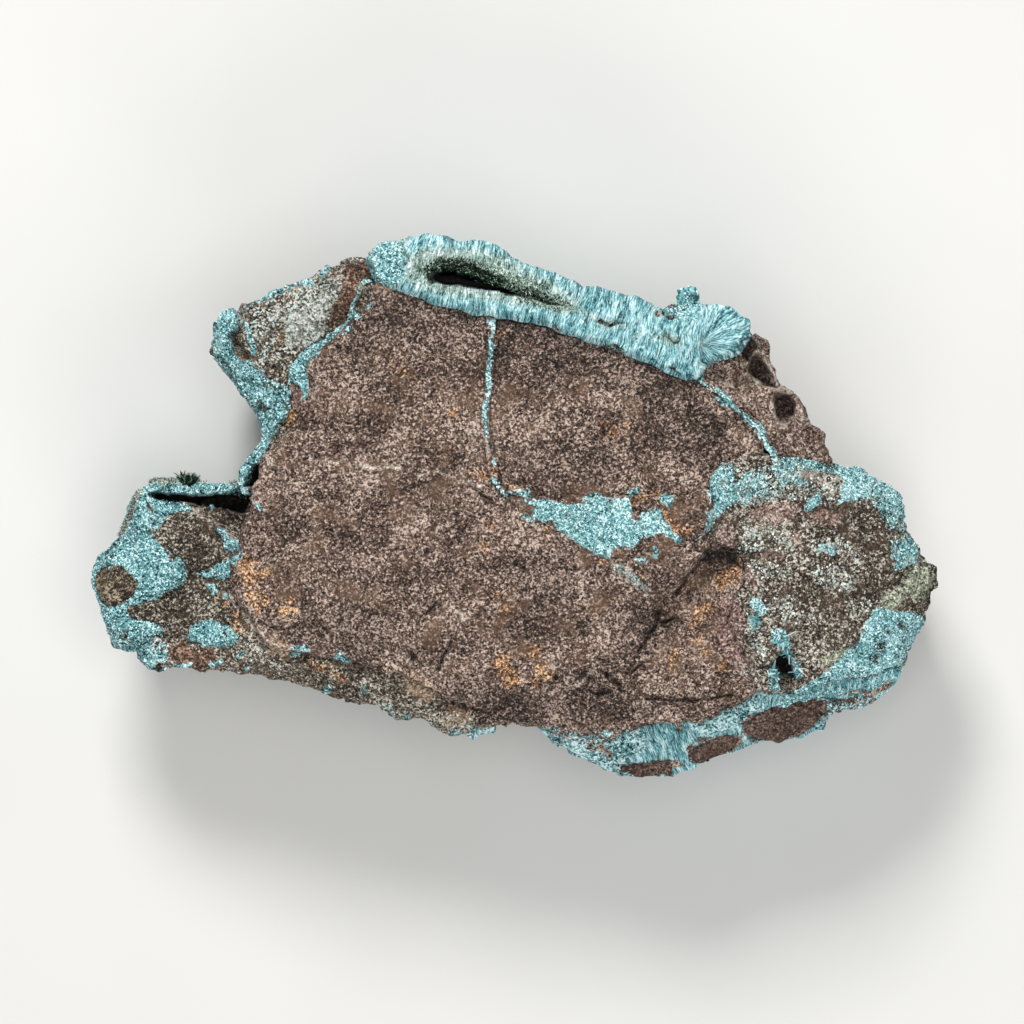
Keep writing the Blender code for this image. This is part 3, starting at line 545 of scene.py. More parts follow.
# %% Specks, frost and reddish rock
SPECKS = [
    area((240, 320), (262, 302), (300, 285), (335, 270), (342, 300), (322, 340), (290, 357),
         (262, 376), (246, 352)),
    area((728, 664), (742, 660), (752, 672), (744, 684), (730, 682)),
    area((738, 530), (752, 524), (790, 528), (800, 545), (792, 553), (764, 548), (745, 552)),
    area((748, 562), (775, 560), (792, 568), (788, 580), (756, 578)),
    area((809, 540), (822, 534), (850, 538), (862, 548), (856, 557), (830, 553), (812, 552)),
    area((812, 566), (835, 562), (853, 574), (856, 590), (836, 594), (816, 588)),
    area((846, 602), (860, 596), (876, 602), (872, 614), (852, 618)),
    area((766, 600), (790, 594), (806, 610), (796, 626), (772, 622)),
    area((748, 612), (762, 628), (770, 650), (762, 668), (750, 640)),
    area((735, 488), (752, 466), (800, 462), (842, 480), (836, 500), (790, 500), (742, 508)),
    area((376, 664), (388, 652), (404, 656), (402, 668), (386, 674)),
    area((435, 716), (452, 708), (474, 712), (470, 726), (448, 730)),
    area((240, 642), (252, 640), (262, 654), (250, 662)),
]
FROST = [
    area((398, 268), (412, 256), (430, 250), (455, 249), (482, 253), (508, 262), (532, 274),
         (560, 289), (580, 303), (584, 314), (560, 313), (530, 308), (500, 303), (470, 300),
         (440, 296), (418, 290), (402, 280)),
    line(1.5, (584, 316), (604, 322), (624, 328)),
    line(1.4, (655, 338), (668, 343), (682, 343)),
    line(2.0, (656, 312), (670, 316), (684, 313)),
    dot(2.5, (701, 345), (640, 334)),
    line(5.0, (618, 568), (630, 576), (646, 587)),
    line(1.6, (640, 564), (654, 556)),
    line(2.0, (520, 516), (533, 521)),
    area((290, 322), (298, 308), (315, 299), (326, 290), (336, 274), (341, 264), (342, 286),
         (332, 306), (326, 324), (320, 336), (306, 346), (290, 349), (280, 344), (286, 330)),
]
REDDISH = [
    area((341, 266), (354, 263), (366, 266), (372, 273), (370, 280), (358, 284), (352, 296),
         (346, 314), (336, 329), (326, 329), (330, 314), (336, 300), (339, 286)),
    area((167, 643), (183, 640), (191, 648), (215, 651), (215, 662), (194, 667), (170, 664)),
    area((215, 595), (222, 592), (227, 598), (222, 602)),
]
print("specks:", len(SPECKS), "marks, frost:", len(FROST), "reddish:", len(REDDISH))

# %% [markdown]
# The broken face is darker in some stretches. `DARKER_ROCK_AND_SHADE` is a slightly darker brown there:
# partly the rock's own darker, greyer tone, and partly painted shading where the face turns away from the
# light, lies deeper or lies below the raised top vein. `PAINTED_SHADOWS` is almost black painted shadow
# under the arch of the scoop, below the lower edge of the top vein and in a small hollow at the ledge.

# %% Darker rock and painted shading
DARKER_ROCK_AND_SHADE = [
    area((350, 315), (372, 290), (420, 300), (470, 314), (520, 324), (560, 334), (600, 346),
         (640, 358), (665, 372), (690, 385), (704, 404), (680, 408), (640, 400), (600, 388),
         (560, 374), (520, 364), (480, 353), (430, 344), (380, 345), (352, 370), (338, 366)),
    area((640, 386), (700, 398), (720, 420), (744, 452), (704, 482), (670, 452), (640, 432)),
    area((262, 600), (290, 600), (330, 604), (380, 606), (402, 626), (390, 656), (350, 652),
         (315, 650), (280, 638), (262, 620)),
    area((430, 682), (470, 668), (520, 690), (560, 664), (590, 676), (640, 690), (700, 692),
         (690, 706), (620, 714), (560, 724), (500, 724), (450, 712)),
    area((605, 610), (625, 600), (660, 606), (672, 625), (650, 655), (615, 656)),
    area((515, 550), (545, 550), (575, 565), (577, 600), (540, 606), (515, 590)),
    area((512, 446), (560, 440), (612, 450), (624, 470), (600, 486), (545, 480), (515, 466)),
    area((276, 498), (300, 496), (312, 520), (300, 548), (280, 545)),
    area((326, 352), (346, 340), (356, 350), (340, 376), (326, 384)),
]
PAINTED_SHADOWS = [
    area((700, 561), (706, 553), (713, 549), (722, 547), (732, 549), (739, 556), (742, 566),
         (728, 561), (714, 561)),
    line(2.6, (604, 346), (620, 352), (638, 360), (656, 368)),
    line(2.0, (474, 318), (500, 321), (540, 330), (576, 340)),
    line(2.4, (634, 509), (642, 512), (650, 510)),
]
print("shade:", len(DARKER_ROCK_AND_SHADE), "marks, deep:", len(PAINTED_SHADOWS))

# %% [markdown]
# At some borders blue and brown grains are mixed. `SKIN` is a thin brown layer on a vein,
# and `SUGAR` tells where a vein ends its fibres and becomes a heap of crumbs.

# %% Mixed grains, skin and sugar
MIXED = [
    area((238, 366), (256, 370), (284, 390), (288, 405), (272, 424), (255, 418), (246, 399)),
    area((97, 622), (130, 620), (163, 630), (166, 650), (120, 660), (102, 654)),
    area((720, 466), (770, 462), (800, 462), (820, 480), (780, 498), (728, 506)),
    area((860, 500), (886, 500), (906, 530), (920, 560), (896, 570), (880, 530)),
    area((540, 727), (602, 729), (612, 742), (590, 752), (556, 738)),
    area((830, 700), (884, 694), (880, 716), (822, 742)),
    area((330, 650), (356, 666), (410, 720), (374, 706)),
]
SKIN = [
    area((402, 678), (412, 670), (428, 678), (438, 694), (424, 702), (408, 690)),
    area((443, 716), (452, 708), (468, 708), (472, 718), (460, 727), (446, 726)),
    area((262, 640), (276, 636), (290, 648), (284, 658), (270, 654)),
    line(1.8, (404, 242), (412, 237), (424, 235), (434, 234)),
    line(2.0, (476, 238), (490, 242), (505, 250), (520, 259)),
    line(1.8, (640, 299), (655, 303), (672, 305)),
    line(1.8, (366, 258), (372, 250), (378, 243)),
    line(2.2, (536, 729), (548, 738), (560, 748), (572, 756), (592, 764)),
    line(2.6, (701, 294), (705, 298), (704, 304)),
    line(1.5, (700, 303), (716, 304), (730, 306)),
]
SUGAR = [
    area((545, 724), (600, 729), (640, 724), (650, 740), (620, 768), (590, 764), (560, 750)),
    area((690, 720), (735, 704), (762, 690), (770, 706), (730, 730), (700, 738)),
    area((780, 696), (840, 692), (890, 686), (892, 710), (830, 738), (800, 752), (760, 762)),
    area((676, 286), (700, 282), (706, 306), (690, 312), (676, 306)),
    area((350, 262), (370, 246), (392, 236), (404, 244), (405, 262), (404, 278), (392, 290),
         (370, 282)),
    area((666, 306), (676, 280), (704, 278), (706, 306)),
    area((655, 300), (690, 304), (700, 322), (662, 318)),
]
print("mixed:", len(MIXED), "marks, skin:", len(SKIN), "sugar:", len(SUGAR))

# %% [markdown]
# Fibres grew from both walls of a vein and met in a seam. These are the seams of the two
# fibrous veins, and the fibres run across them.

# %% Seams of the fibrous veins
SUTURE = spot([
    (380, 262), (400, 268), (420, 276), (440, 283), (480, 289), (515, 297), (550, 306),
    (600, 324), (640, 335), (672, 341), (702, 344),
])
LOWER_SUTURE = spot([
    (556, 738), (590, 748), (615, 752), (640, 742), (680, 728), (720, 712), (770, 700),
    (820, 702), (870, 700),
])

print("seams of", len(SUTURE), "and", len(LOWER_SUTURE), "points")

# %% [markdown]
# Cracks run along the broken steps of the rock. They are cut in, and painted dark as well, as painted
# shadow, because cracks a fifth of a millimetre wide are hardly wider than the squares of the mesh.

# %% Cracks
CRACKS = [
    line(1.6, (700, 560), (704, 554), (711, 549), (721, 546), (732, 548), (738, 552)),
    line(1.7, (700, 563), (690, 573), (684, 581), (678, 589), (671, 596)),
    line(1.5, (690, 602), (687, 596), (690, 592)),
    line(1.6, (658, 612), (661, 622), (667, 623), (682, 618)),
    line(1.5, (661, 622), (651, 635), (646, 643), (639, 649)),
    line(1.2, (642, 663), (632, 672)),
    line(1.8, (608, 673), (613, 678), (621, 681)),
    line(1.4, (598, 692), (606, 693)),
    line(1.2, (646, 697), (666, 698), (687, 697), (710, 699), (734, 696)),
    line(1.3, (409, 650), (412, 656), (410, 662)),
    line(1.2, (352, 660), (366, 666), (380, 666)),
    line(1.1, (262, 622), (276, 630), (296, 626), (310, 616)),
    line(1.1, (420, 616), (430, 608), (438, 604)),
    line(1.4, (350, 350), (356, 356), (364, 353)),
    line(1.2, (452, 640), (446, 652), (440, 668)),
    line(1.1, (470, 484), (482, 494), (492, 500)),
    line(1.6, (600, 322), (610, 328), (622, 325)),
    line(1.4, (664, 314), (672, 318), (678, 314)),
    line(1.8, (666, 338), (674, 344), (680, 342)),
    line(1.2, (402, 246), (405, 256), (403, 268)),
    dot(2.2, (518, 566), (523, 569), (586, 676), (556, 676), (590, 679), (330, 530), (428, 552)),
]
print("cracks:", len(CRACKS), "marks")

# %% [markdown]
# Cracks and hollows go straight down into the face. Each line gives how deep in millimetres,
# how wide the slope is on either side of the mark's border, and where. The first is the slot
# under the thin roof.

# %% Hollows
CUTS = [
    (5.0, 0.16, [area((151, 495), (163, 493), (193, 495), (216, 495), (236, 495), (243, 498),
                      (251, 493), (251, 508), (240, 512), (230, 511), (222, 508), (210, 504),
                      (193, 500), (177, 499), (161, 499))]),
    (3.4, 0.2, [area((247, 486), (249, 476), (254, 466), (258, 464), (256, 476), (253, 486))]),
    (1.8, 0.2, [line(2.6, (240, 308), (242, 318), (239, 330)),
                line(3.4, (230, 337), (236, 348), (243, 358))]),
    (0.9, 0.30, [area((191, 505), (205, 501), (220, 506), (228, 512), (250, 511), (248, 517),
                      (243, 529), (238, 538), (232, 537), (222, 527), (209, 520), (200, 513))]),
    (2.6, 0.3, [area((773, 650), (784, 652), (797, 665), (794, 672), (784, 672), (775, 662))]),
    (1.2, 0.5, [area((784, 668), (798, 668), (804, 682), (799, 692), (788, 690), (780, 678))]),
    (2.6, 0.12, [area((428, 283), (434, 277), (446, 273), (458, 277), (474, 283), (492, 286),
                      (512, 292), (532, 297), (552, 302), (560, 306), (546, 305), (524, 300),
                      (500, 295), (476, 292), (452, 289), (438, 288))]),
    (0.6, 0.2, [area((632, 501), (645, 499), (655, 503), (651, 512), (640, 518), (633, 512))]),
    (2.0, 0.2, [area((748, 341), (754, 338), (757, 347), (754, 355), (747, 362), (743, 356)),
                area((758, 356), (766, 366), (772, 382), (776, 387), (770, 387), (757, 380),
                     (751, 372), (751, 366)),
                area((777, 395), (792, 395), (798, 406), (796, 417), (785, 424), (777, 417),
                     (775, 404))]),
    (0.9, 0.22, [area((717, 370), (724, 368), (730, 374), (728, 380), (720, 378)),
                 area((359, 298), (364, 291), (370, 294), (368, 301), (362, 307), (357, 310))]),
    (1.5, 0.6, [area((700, 560), (706, 552), (713, 549), (722, 547), (732, 549), (739, 556),
                     (742, 566), (730, 574), (712, 580), (700, 576))]),
    (1.5, 0.18, [area((701, 561), (706, 553), (713, 549), (722, 547), (732, 549), (739, 556),
                      (741, 564), (726, 562), (712, 563))]),
    (0.7, 0.9, [area((668, 600), (690, 584), (712, 572), (740, 572), (734, 590), (710, 604),
                     (694, 616), (676, 616))]),
    (0.6, 0.16, CRACKS),
    (0.8, 0.5, [dot(8, (307, 628), (322, 632), (448, 352), (362, 354), (716, 618)),
                dot(6, (697, 545), (705, 541), (270, 370), (275, 378), (686, 540)),
                dot(7, (858, 650), (790, 600), (752, 645), (470, 318))]),
    (1.2, 0.4, [dot(3, (586, 674), (592, 678), (609, 690), (256, 407), (880, 652), (885, 642))]),
]
print("cuts:", len(CUTS), "deepest", max(depth for depth, _, _ in CUTS), "mm")

# %% [markdown]
# Ridges stand up from the face in the same way. At the shoulder they are the thin walls
# between the pits.

# %% Ridges
RIDGES = [
    (0.5, 0.12, [line(1.0, (755, 335), (762, 354), (772, 372), (780, 388), (790, 393), (799, 401)),
                 line(0.9, (758, 351), (749, 363)),
                 line(1.0, (749, 376), (760, 383), (776, 390)),
                 line(1.6, (762, 333), (772, 343), (776, 365), (778, 381))]),
    (0.9, 0.4, [area((172, 578), (177, 558), (185, 578))]),
    (0.4, 0.15, [line(1.3, (191, 508), (205, 518), (213, 526), (226, 536), (237, 541))]),
    (0.5, 0.4, [line(2.5, (142, 486), (165, 485), (200, 487), (237, 487)),
                line(2.0, (139, 490), (132, 505), (124, 525))]),
    (0.5, 0.6, [area((700, 545), (706, 535), (722, 528), (738, 536), (742, 550), (735, 546),
                     (722, 542), (710, 544)),
                area((640, 575), (668, 560), (694, 556), (686, 574), (664, 596), (648, 604))]),
]
print("ridges:", len(RIDGES), "highest", max(rise for rise, _, _ in RIDGES), "mm")

# %% [markdown]
# A CAD piece is plain and angular. Its double starts from a copy that is merged and remeshed
# into even small squares, so that the relief has points to move everywhere.

# %% Even copies of the CAD pieces
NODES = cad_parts
SAME_POINT = 0.002


def cad_shape(node):
    """A merged copy of a CAD node, in millimetres."""
    bm = bmesh.new()
    bm.from_mesh(NODES[node].data)
    bmesh.ops.remove_doubles(bm, verts=bm.verts[:], dist=SAME_POINT * MM)
    bmesh.ops.scale(bm, vec=(1.0 / MM,) * 3, verts=bm.verts[:])
    return bm


def even_shape(node, square):
    """The shape of a CAD node in even squares."""
    bm = cad_shape(node)
    mesh = bpy.data.meshes.new(node + "_blank")
    bm.to_mesh(mesh)
    bm.free()
    blank = bpy.data.objects.new(node + "_blank", mesh)
    bpy.context.scene.collection.objects.link(blank)
    remesh = blank.modifiers.new("Even", "REMESH")
    remesh.mode = "VOXEL"
    remesh.voxel_size = square
    graph = bpy.context.evaluated_depsgraph_get()
    even = bpy.data.meshes.new_from_object(blank.evaluated_get(graph))
    bpy.data.objects.remove(blank)
    bm = bmesh.new()
    bm.from_mesh(even)
    bpy.data.meshes.remove(even)
    return bm


print("CAD faces:", sum(len(item.data.polygons) for item in NODES.values()))

# %% [markdown]
# Where two pieces touch, nothing shows, and relief there would push them into each other.
# `open` marks what shows: a point is closed off if a neighbouring piece stands right in front
# of it.

# %% What shows
REACH = 0.6
TOUCHING = 0.45


def neighbours(node):
    """A search tree of every other CAD node's faces."""
    corners = []
    faces = []
    for name in sorted(NODES):
        if name == node:
            continue
        bm = cad_shape(name)
        bm.verts.index_update()
        faces += [[vert.index + len(corners) for vert in face.verts] for face in bm.faces]
        corners += [vert.co.copy() for vert in bm.verts]
        bm.free()
    return BVHTree.FromPolygons(corners, faces)


def mark_open(bm, node):
    """Writes 1 on the points that show and 0 on those that face a neighbour closely."""
    others = neighbours(node)
    layer = bm.verts.layers.float.new("open")
    bm.normal_update()
    for vert in bm.verts:
        found = others.find_nearest(vert.co + vert.normal * REACH, TOUCHING)[0]
        vert[layer] = 0.0 if found else 1.0
    return layer


print("a neighbour closes a point off from at most", REACH + TOUCHING, "mm away")

# %% [markdown]
# The remesh rounds the rim of the display face, so `flatten` puts its points back onto the
# CAD face. `divide` makes the squares finer on the display face and on the outer sides,
# because those show.

# %% The face and its squares
FRONT = 13.0
RIM = 1.5
MOST_LIFT = 1.0
ABOVE = 60.0
UPWARD = (0.15, 0.45)


def flatten(bm, node):
    """Brings the display face back onto the CAD face, where the remesh rounded its rim."""
    source = cad_shape(node)
    tree = BVHTree.FromBMesh(source)
    source.free()
    bm.normal_update()
    for vert in bm.verts:
        if vert.co.z > FRONT - RIM and vert.normal.z > UPWARD[0]:
            found = tree.ray_cast(Vector((vert.co.x, vert.co.y, ABOVE)), Vector((0.0, 0.0, -1.0)))[0]
            if found and abs(found.z - vert.co.z) < MOST_LIFT:
                vert.co.z = found.z


def divide(bm, layer, least_up, low):
    """Divides the squares that show and that face up at least so much."""
    edges = set()
    for face in bm.faces:
        if face.normal.z < least_up or face.calc_center_median().z < low:
            continue
        if all(vert[layer] > 0.5 for vert in face.verts):
            edges.update(face.edges)
    chosen = sorted(edges, key=lambda edge: edge.index)
    bmesh.ops.subdivide_edges(bm, edges=chosen, cuts=1, use_grid_fill=True)


print("the display face begins", FRONT - RIM, "mm up")

# %% [markdown]
# Every piece is pushed about by the same slow wobble of space, so that two neighbours still
# share their wavy boundary. `BULGES` push the outline out or in where the real one is fuller
# or leaner than the CAD: each has a pixel, a reach and a push in millimetres.

# %% Bulges and wobble
WOBBLE = ((2.6, 0.22), (1.1, 0.14))
BULGES = [
    ((128, 512), 5.0, (-1.0, 0.3)), ((92, 590), 4.5, (-0.35, 0.0)), ((215, 335), 4.0, (-0.5, 0.0)),
    ((310, 285), 4.5, (-0.25, 1.0)), ((345, 702), 3.0, (0.0, -1.0)), ((495, 733), 2.5, (0.0, -0.8)),
    ((640, 775), 7.0, (0.0, -0.65)), ((905, 500), 5.0, (0.5, 0.3)), ((928, 600), 6.0, (0.95, 0.0)),
    ((895, 680), 4.0, (0.2, -0.6)), ((928, 566), 1.3, (0.05, 0.5)),
    ((939, 565), 0.9, (-0.45, -0.35)),
]


def bulged(points):
    """The points, pushed outwards where the outline bulges."""
    moved = points.copy()
    for pixel, reach, push in BULGES:
        away = np.linalg.norm(points[:, :2] - spot(pixel), axis=1) / reach
        moved[:, :2] += np.exp(-away * away)[:, None] * np.array(push)
    return moved


def wobble(points):
    """The shared wobble, on top of the bulges."""
    moved = bulged(points)
    for size, amount in WOBBLE:
        for axis in range(3):
            moved[:, axis] += amount * waves(points, size, 70 + 10 * axis + int(size))
    return moved


print("the wobble moves a point", np.abs(wobble(SAMPLE) - SAMPLE).max().round(2), "mm at most")

# %% [markdown]
# A fibrous vein is combed: its threads run from one wall to the other. `fibre_map` gives
# each point its place along the seam and its distance from it, and a pattern that is narrow
# along the seam and long across it then looks like threads.


# %% Fibres
def fibre_map(points, suture):
    """Distance along and across a vein from its middle seam; fibres run across."""
    flat = points[:, :2]
    least = np.full(len(flat), 1e9)
    along = np.zeros(len(flat))
    across = np.zeros(len(flat))
    before = 0.0
    for start, end in zip(suture[:-1], suture[1:]):
        step = end - start
        length = np.linalg.norm(step)
        ahead = step / length
        aside = np.array([-ahead[1], ahead[0]])
        share = (flat - start) @ ahead
        held = np.clip(share, 0.0, length)
        off = flat - start - held[:, None] * ahead
        away = np.linalg.norm(off, axis=1)
        turn = np.arctan2(share - held, np.abs(off @ aside) + 1e-6)
        closer = away < least
        least = np.where(closer, away, least)
        along = np.where(closer, before + held + turn * 2.2, along)
        across = np.where(closer, np.copysign(away, off @ aside), across)
        before += length
    return along, across


print("seam of the top vein:", fibre_map(SUTURE, SUTURE)[0].max().round(1), "mm")

# %% [markdown]
# The parts that show are raised and lowered along their normals. Rock has dull fracture
# relief and small pits, and its sides are broken in steps. Crust is a heap of small knobs.


# %% Relief of rock and crust
def rock_relief(points, side):
    """Fracture relief: slow swells, pits, broken steps on the sides, and grains."""
    height = 0.26 * rugged(points, 6.0, 2, 1) + 0.20 * rugged(points, 1.7, 3, 3)
    height -= 0.22 * ease(waves(points, 0.85, 15), 0.15, 0.55)
    height += side * (0.9 * rugged(points, 5.0, 3, 5) - 0.7 * np.abs(rugged(points, 3.1, 3, 8)))
    return height - 0.14 * grains(points, 0.5, 11)


def crust_relief(points, side):
    """Small knobs of crust, each with smaller ones on it."""
    height = 0.22 * rugged(points, 3.4, 2, 21) + 0.22 * side * rugged(points, 4.0, 3, 23)
    height -= 0.24 * (grains(points, 1.0, 25) - 0.5)
    return height - 0.22 * (grains(points, 0.45, 27) - 0.5)


print("rock relief spans", np.ptp(rock_relief(SAMPLE, 0.0)).round(2), "mm on the face")
print("crust relief spans", np.ptp(crust_relief(SAMPLE, 0.0)).round(2), "mm")

# %% [markdown]
# The double is made with operators as far as the relief. Points beside a seam between two
# pieces are left out of the smoothing, so that no gap opens there. `readings` then hands
# the points over as arrays.


# %% The double before its relief
def double_mesh(node, square, smoothing, dividing):
    """An even mesh of a CAD node, smoothed away from the seams and finer where it shows."""
    bm = even_shape(node, square)
    layer = mark_open(bm, node)
    away_from_seams = [
        vert for vert in bm.verts
        if vert[layer] > 0.5 and all(edge.other_vert(vert)[layer] > 0.5 for edge in vert.link_edges)
    ]
    for _ in range(smoothing):
        bmesh.ops.smooth_vert(
            bm, verts=away_from_seams, factor=0.5, use_axis_x=True, use_axis_y=True, use_axis_z=True
        )
    flatten(bm, node)
    for least_up, low in dividing:
        bm.normal_update()
        bm.edges.index_update()
        divide(bm, layer, least_up, low)
    bmesh.ops.triangulate(bm, faces=[face for face in bm.faces if len(face.verts) > 4])
    bm.normal_update()
    mesh = bpy.data.meshes.new(node + "_double")
    bm.to_mesh(mesh)
    bm.free()
    return mesh


def readings(mesh):
    """Places and normals of the points, and which of them show."""
    count = len(mesh.vertices)
    home = np.empty(count * 3)
    mesh.vertices.foreach_get("co", home)
    out = np.empty(count * 3)
    mesh.vertex_normals.foreach_get("vector", out)
    shows = np.empty(count)
    mesh.attributes["open"].data.foreach_get("value", shows)
    return home.reshape(-1, 3), out.reshape(-1, 3), shows


def set_attribute(mesh, name, values):
    """Keeps a number or a vector on each point, for the finishes."""
    kind = "FLOAT" if values.ndim == 1 else "FLOAT_VECTOR"
    layer = mesh.attributes.new(name, kind, "POINT")
    layer.data.foreach_set("value" if kind == "FLOAT" else "vector", values.ravel().astype(np.float32))


trial = double_mesh("round_fragment", 0.5, 0, ())
print("round fragment in half millimetres:", len(trial.polygons), "faces")
bpy.data.meshes.remove(trial)

# %% [markdown]
# `dress` puts it all together. Each mark becomes an attribute of the points, for the
# finish, and fades down the side walls. Off the display face noise decides where rock has
# patches of crust, and crust patches of rock: the more, the higher `patches` is. Crust stands
# `proud` of the rock. At the seams each piece laps a little into its neighbour, so that no
# light falls through.

# %% The double of a piece
# The `darker_rock_and_shade` marks are partly painted shading and the `crack_shadow` marks painted
# shadow.
TONES = {
    "rust": RUST, "pink": PINK, "pale": PALE, "green": GREEN, "skin": SKIN, "specks": SPECKS,
    "frost": FROST, "reddish": REDDISH, "sugar": SUGAR, "mixed": MIXED, "darker_rock_and_shade": DARKER_ROCK_AND_SHADE,
    "crack_shadow": CRACKS + PAINTED_SHADOWS,
}
FLUSH = 1.5
GROW = 0.15
LAP = 0.14
VEINLET_PROUD = 0.1
THREAD = (0.55, 3.0, 6.0)
FINE_THREAD = (0.28, 2.0, 4.0)
DIVIDING = ((-0.4, 4.0), (0.35, 10.0))
made = {}


def dress(node, square, finish, crust=False, smoothing=1, dividing=DIVIDING,
          suture=None, patches=0.0, grow=GROW, proud=0.25):
    """Shapes the detailed double of a CAD node."""
    mesh = double_mesh(node, square, smoothing, dividing)
    home, out, shows = readings(mesh)
    front = ease(home[:, 2], FRONT - RIM, FRONT + RIM)
    face = front * ease(out[:, 2], *UPWARD)
    side = 1.0 - ease(np.abs(out[:, 2]), 0.3, 0.8)
    ragged = 0.15 * rugged(home, 1.1, 3, 41)
    seen = bulged(home)
    down = np.maximum(home[:, 2].max() - RIM - home[:, 2], 0.0)
    under = down * (1.0 - ease(out[:, 2], *UPWARD))
    fields = {
        name: np.where(front > 0.5, field(seen, marks) + ragged - under, NOWHERE)
        for name, marks in TONES.items()
    }
    drawn = np.clip(np.minimum(field(seen, BLUE), -field(seen, BROWN)) + ragged, -FLUSH, FLUSH)
    spread = 4.0 * (rugged(home, 6.0, 3, 51) - 0.5 + patches)
    plain = np.clip(-spread if crust else spread, -FLUSH, FLUSH)
    fields["blue"] = drawn * face + plain * (1.0 - face)
    on_blue = ease(fields["blue"], -0.15, 0.3)
    knobs = crust_relief(home, side) + (0.0 if crust else proud)
    rock = rock_relief(home, side) - (proud if crust else 0.0)
    if proud < VEINLET_PROUD:
        knobs = 0.5 * knobs + 0.5 * rock + proud
    height = rock * (1.0 - on_blue) + knobs * on_blue
    height += 0.10 * ease(fields["pale"], -0.1, 0.1) * front
    if suture is not None:
        along, across = fibre_map(home, suture)
        threads_at = np.stack([along, across, home[:, 2]], axis=1)
        combed = 0.14 * waves(threads_at / THREAD, 1.0, 61)
        combed += 0.10 * waves(threads_at / FINE_THREAD, 1.0, 62)
        height = height * (1.0 - 0.55 * on_blue) + combed * (1.0 - 0.6 * side) * on_blue
        set_attribute(mesh, "fibre", threads_at)
    sunk = np.zeros(len(home))
    for depth, slope, marks in CUTS:
        sunk = np.maximum(sunk, depth * ease(field(seen, marks) + 0.5 * ragged, -slope, slope))
    raised = np.zeros(len(home))
    for rise, slope, marks in RIDGES:
        raised = np.maximum(raised, rise * ease(field(seen, marks) + 0.3 * ragged, -slope, slope))
    set_attribute(mesh, "sunk", sunk * front)
    up = ease(out[:, 2], 0.25, 0.6)
    level = out * np.array([1.0, 1.0, 0.0])
    upright = np.array([0.0, 0.0, 1.0])
    lift = out * shows[:, None] + upright * ((1.0 - shows) * up)[:, None]
    overlap = LAP * (1.0 + 0.8 * waves(home, 1.4, 33)) * (1.0 - shows)
    moved = wobble(home) + grow * out + lift * height[:, None] + level * overlap[:, None]
    moved[:, 2] += (raised - sunk) * front
    moved[:, 2] = np.maximum(moved[:, 2], cad_low[2] / MM)
    mesh.vertices.foreach_set("co", (moved * MM).ravel())
    for name, values in fields.items():
        set_attribute(mesh, name, values)
    mesh.attributes.remove(mesh.attributes["open"])
    mesh.shade_smooth()
    mesh.update()
    piece = bpy.data.objects.new(node + "_detail", mesh)
    bpy.context.scene.collection.objects.link(piece)
    mesh.materials.append(finish)
    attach(piece, "root")
    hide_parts(node)
    made[node] = sum(len(face.vertices) - 2 for face in mesh.polygons)
    print(node, "triangles", made[node])
    return piece


print("kinds of mark that a finish can read:", len(TONES) + 1)

# %% [markdown]
# Finishes are node networks. `Wire` wraps a socket so that sums of signals can be written as
# sums, and `make` adds any other node. Colours are written as they look on a screen, from 0
# to 255, and `tone` turns them into light.

# %% A short way to write finishes
OPERATIONS = {"+": "ADD", "-": "SUBTRACT", "*": "MULTIPLY", "/": "DIVIDE"}


class Wire:
    """A socket of a finish that can be summed and fed to other nodes."""

    def __init__(self, socket):
        self.socket = socket

    def make(self, kind, settings, values, output=0):
        node = self.socket.id_data.nodes.new(kind)
        for name, value in settings.items():
            setattr(node, name, value)
        for name, value in values.items():
            if isinstance(value, Wire):
                self.socket.id_data.links.new(value.socket, node.inputs[name])
            else:
                node.inputs[name].default_value = value
        return Wire(node.outputs[output])

    def sum(self, sign, first, second):
        vector = any(isinstance(v, Wire) and v.socket.type == "VECTOR" for v in (first, second))
        if vector and sign == "*":
            return self.make(
                "ShaderNodeVectorMath", {"operation": "SCALE"}, {0: first, "Scale": second}
            )
        kind = "ShaderNodeVectorMath" if vector else "ShaderNodeMath"
        return self.make(kind, {"operation": OPERATIONS[sign]}, {0: first, 1: second})

    def __add__(self, other):
        return self.sum("+", self, other)

    def __radd__(self, other):
        return self.sum("+", other, self)

    def __sub__(self, other):
        return self.sum("-", self, other)

    def __rsub__(self, other):
        return self.sum("-", other, self)

    def __mul__(self, other):
        return self.sum("*", self, other)


def tone(red, green, blue):
    """A colour from 0 to 255 as light."""
    shares = [value / 255.0 for value in (red, green, blue)]
    light = [s / 12.92 if s <= 0.04045 else ((s + 0.055) / 1.055) ** 2.4 for s in shares]
    return (*light, 1.0)


print("shattuckite blue as light:", [round(v, 2) for v in tone(104, 165, 170)])

# %% [markdown]
# A finish mixes colours by signals. `step` turns a signal into a share, `cloud` is noise,
# `random_share` gives each grain a number of its own, and `attribute` reads what `dress`
# kept on the points.


# %% Signals
def mix(share, first, second):
    """One colour or number turned into another."""
    wire = next(v for v in (share, first, second) if isinstance(v, Wire))
    return wire.make(
        "ShaderNodeMix", {"data_type": "RGBA"}, {0: share, 6: first, 7: second}, output=2
    )


def step(wire, low, high):
    """From 0 to 1 as a signal goes from low to high."""
    return wire.make(
        "ShaderNodeMapRange", {"interpolation_type": "SMOOTHSTEP"},
        {"Value": wire, "From Min": low, "From Max": high},
    )


def cloud(place, size, detail=3.0, roughness=0.55):
    """Noise of a size in millimetres."""
    values = {"Vector": place, "Scale": 1.0 / size, "Detail": detail, "Roughness": roughness}
    return place.make("ShaderNodeTexNoise", {}, values)


def random_share(place, size):
    """A random number for each cell of a size in millimetres."""
    cell = place.make("ShaderNodeTexVoronoi", {}, {"Vector": place, "Scale": 1.0 / size}, 1)
    return place.make("ShaderNodeSeparateColor", {}, {0: cell})


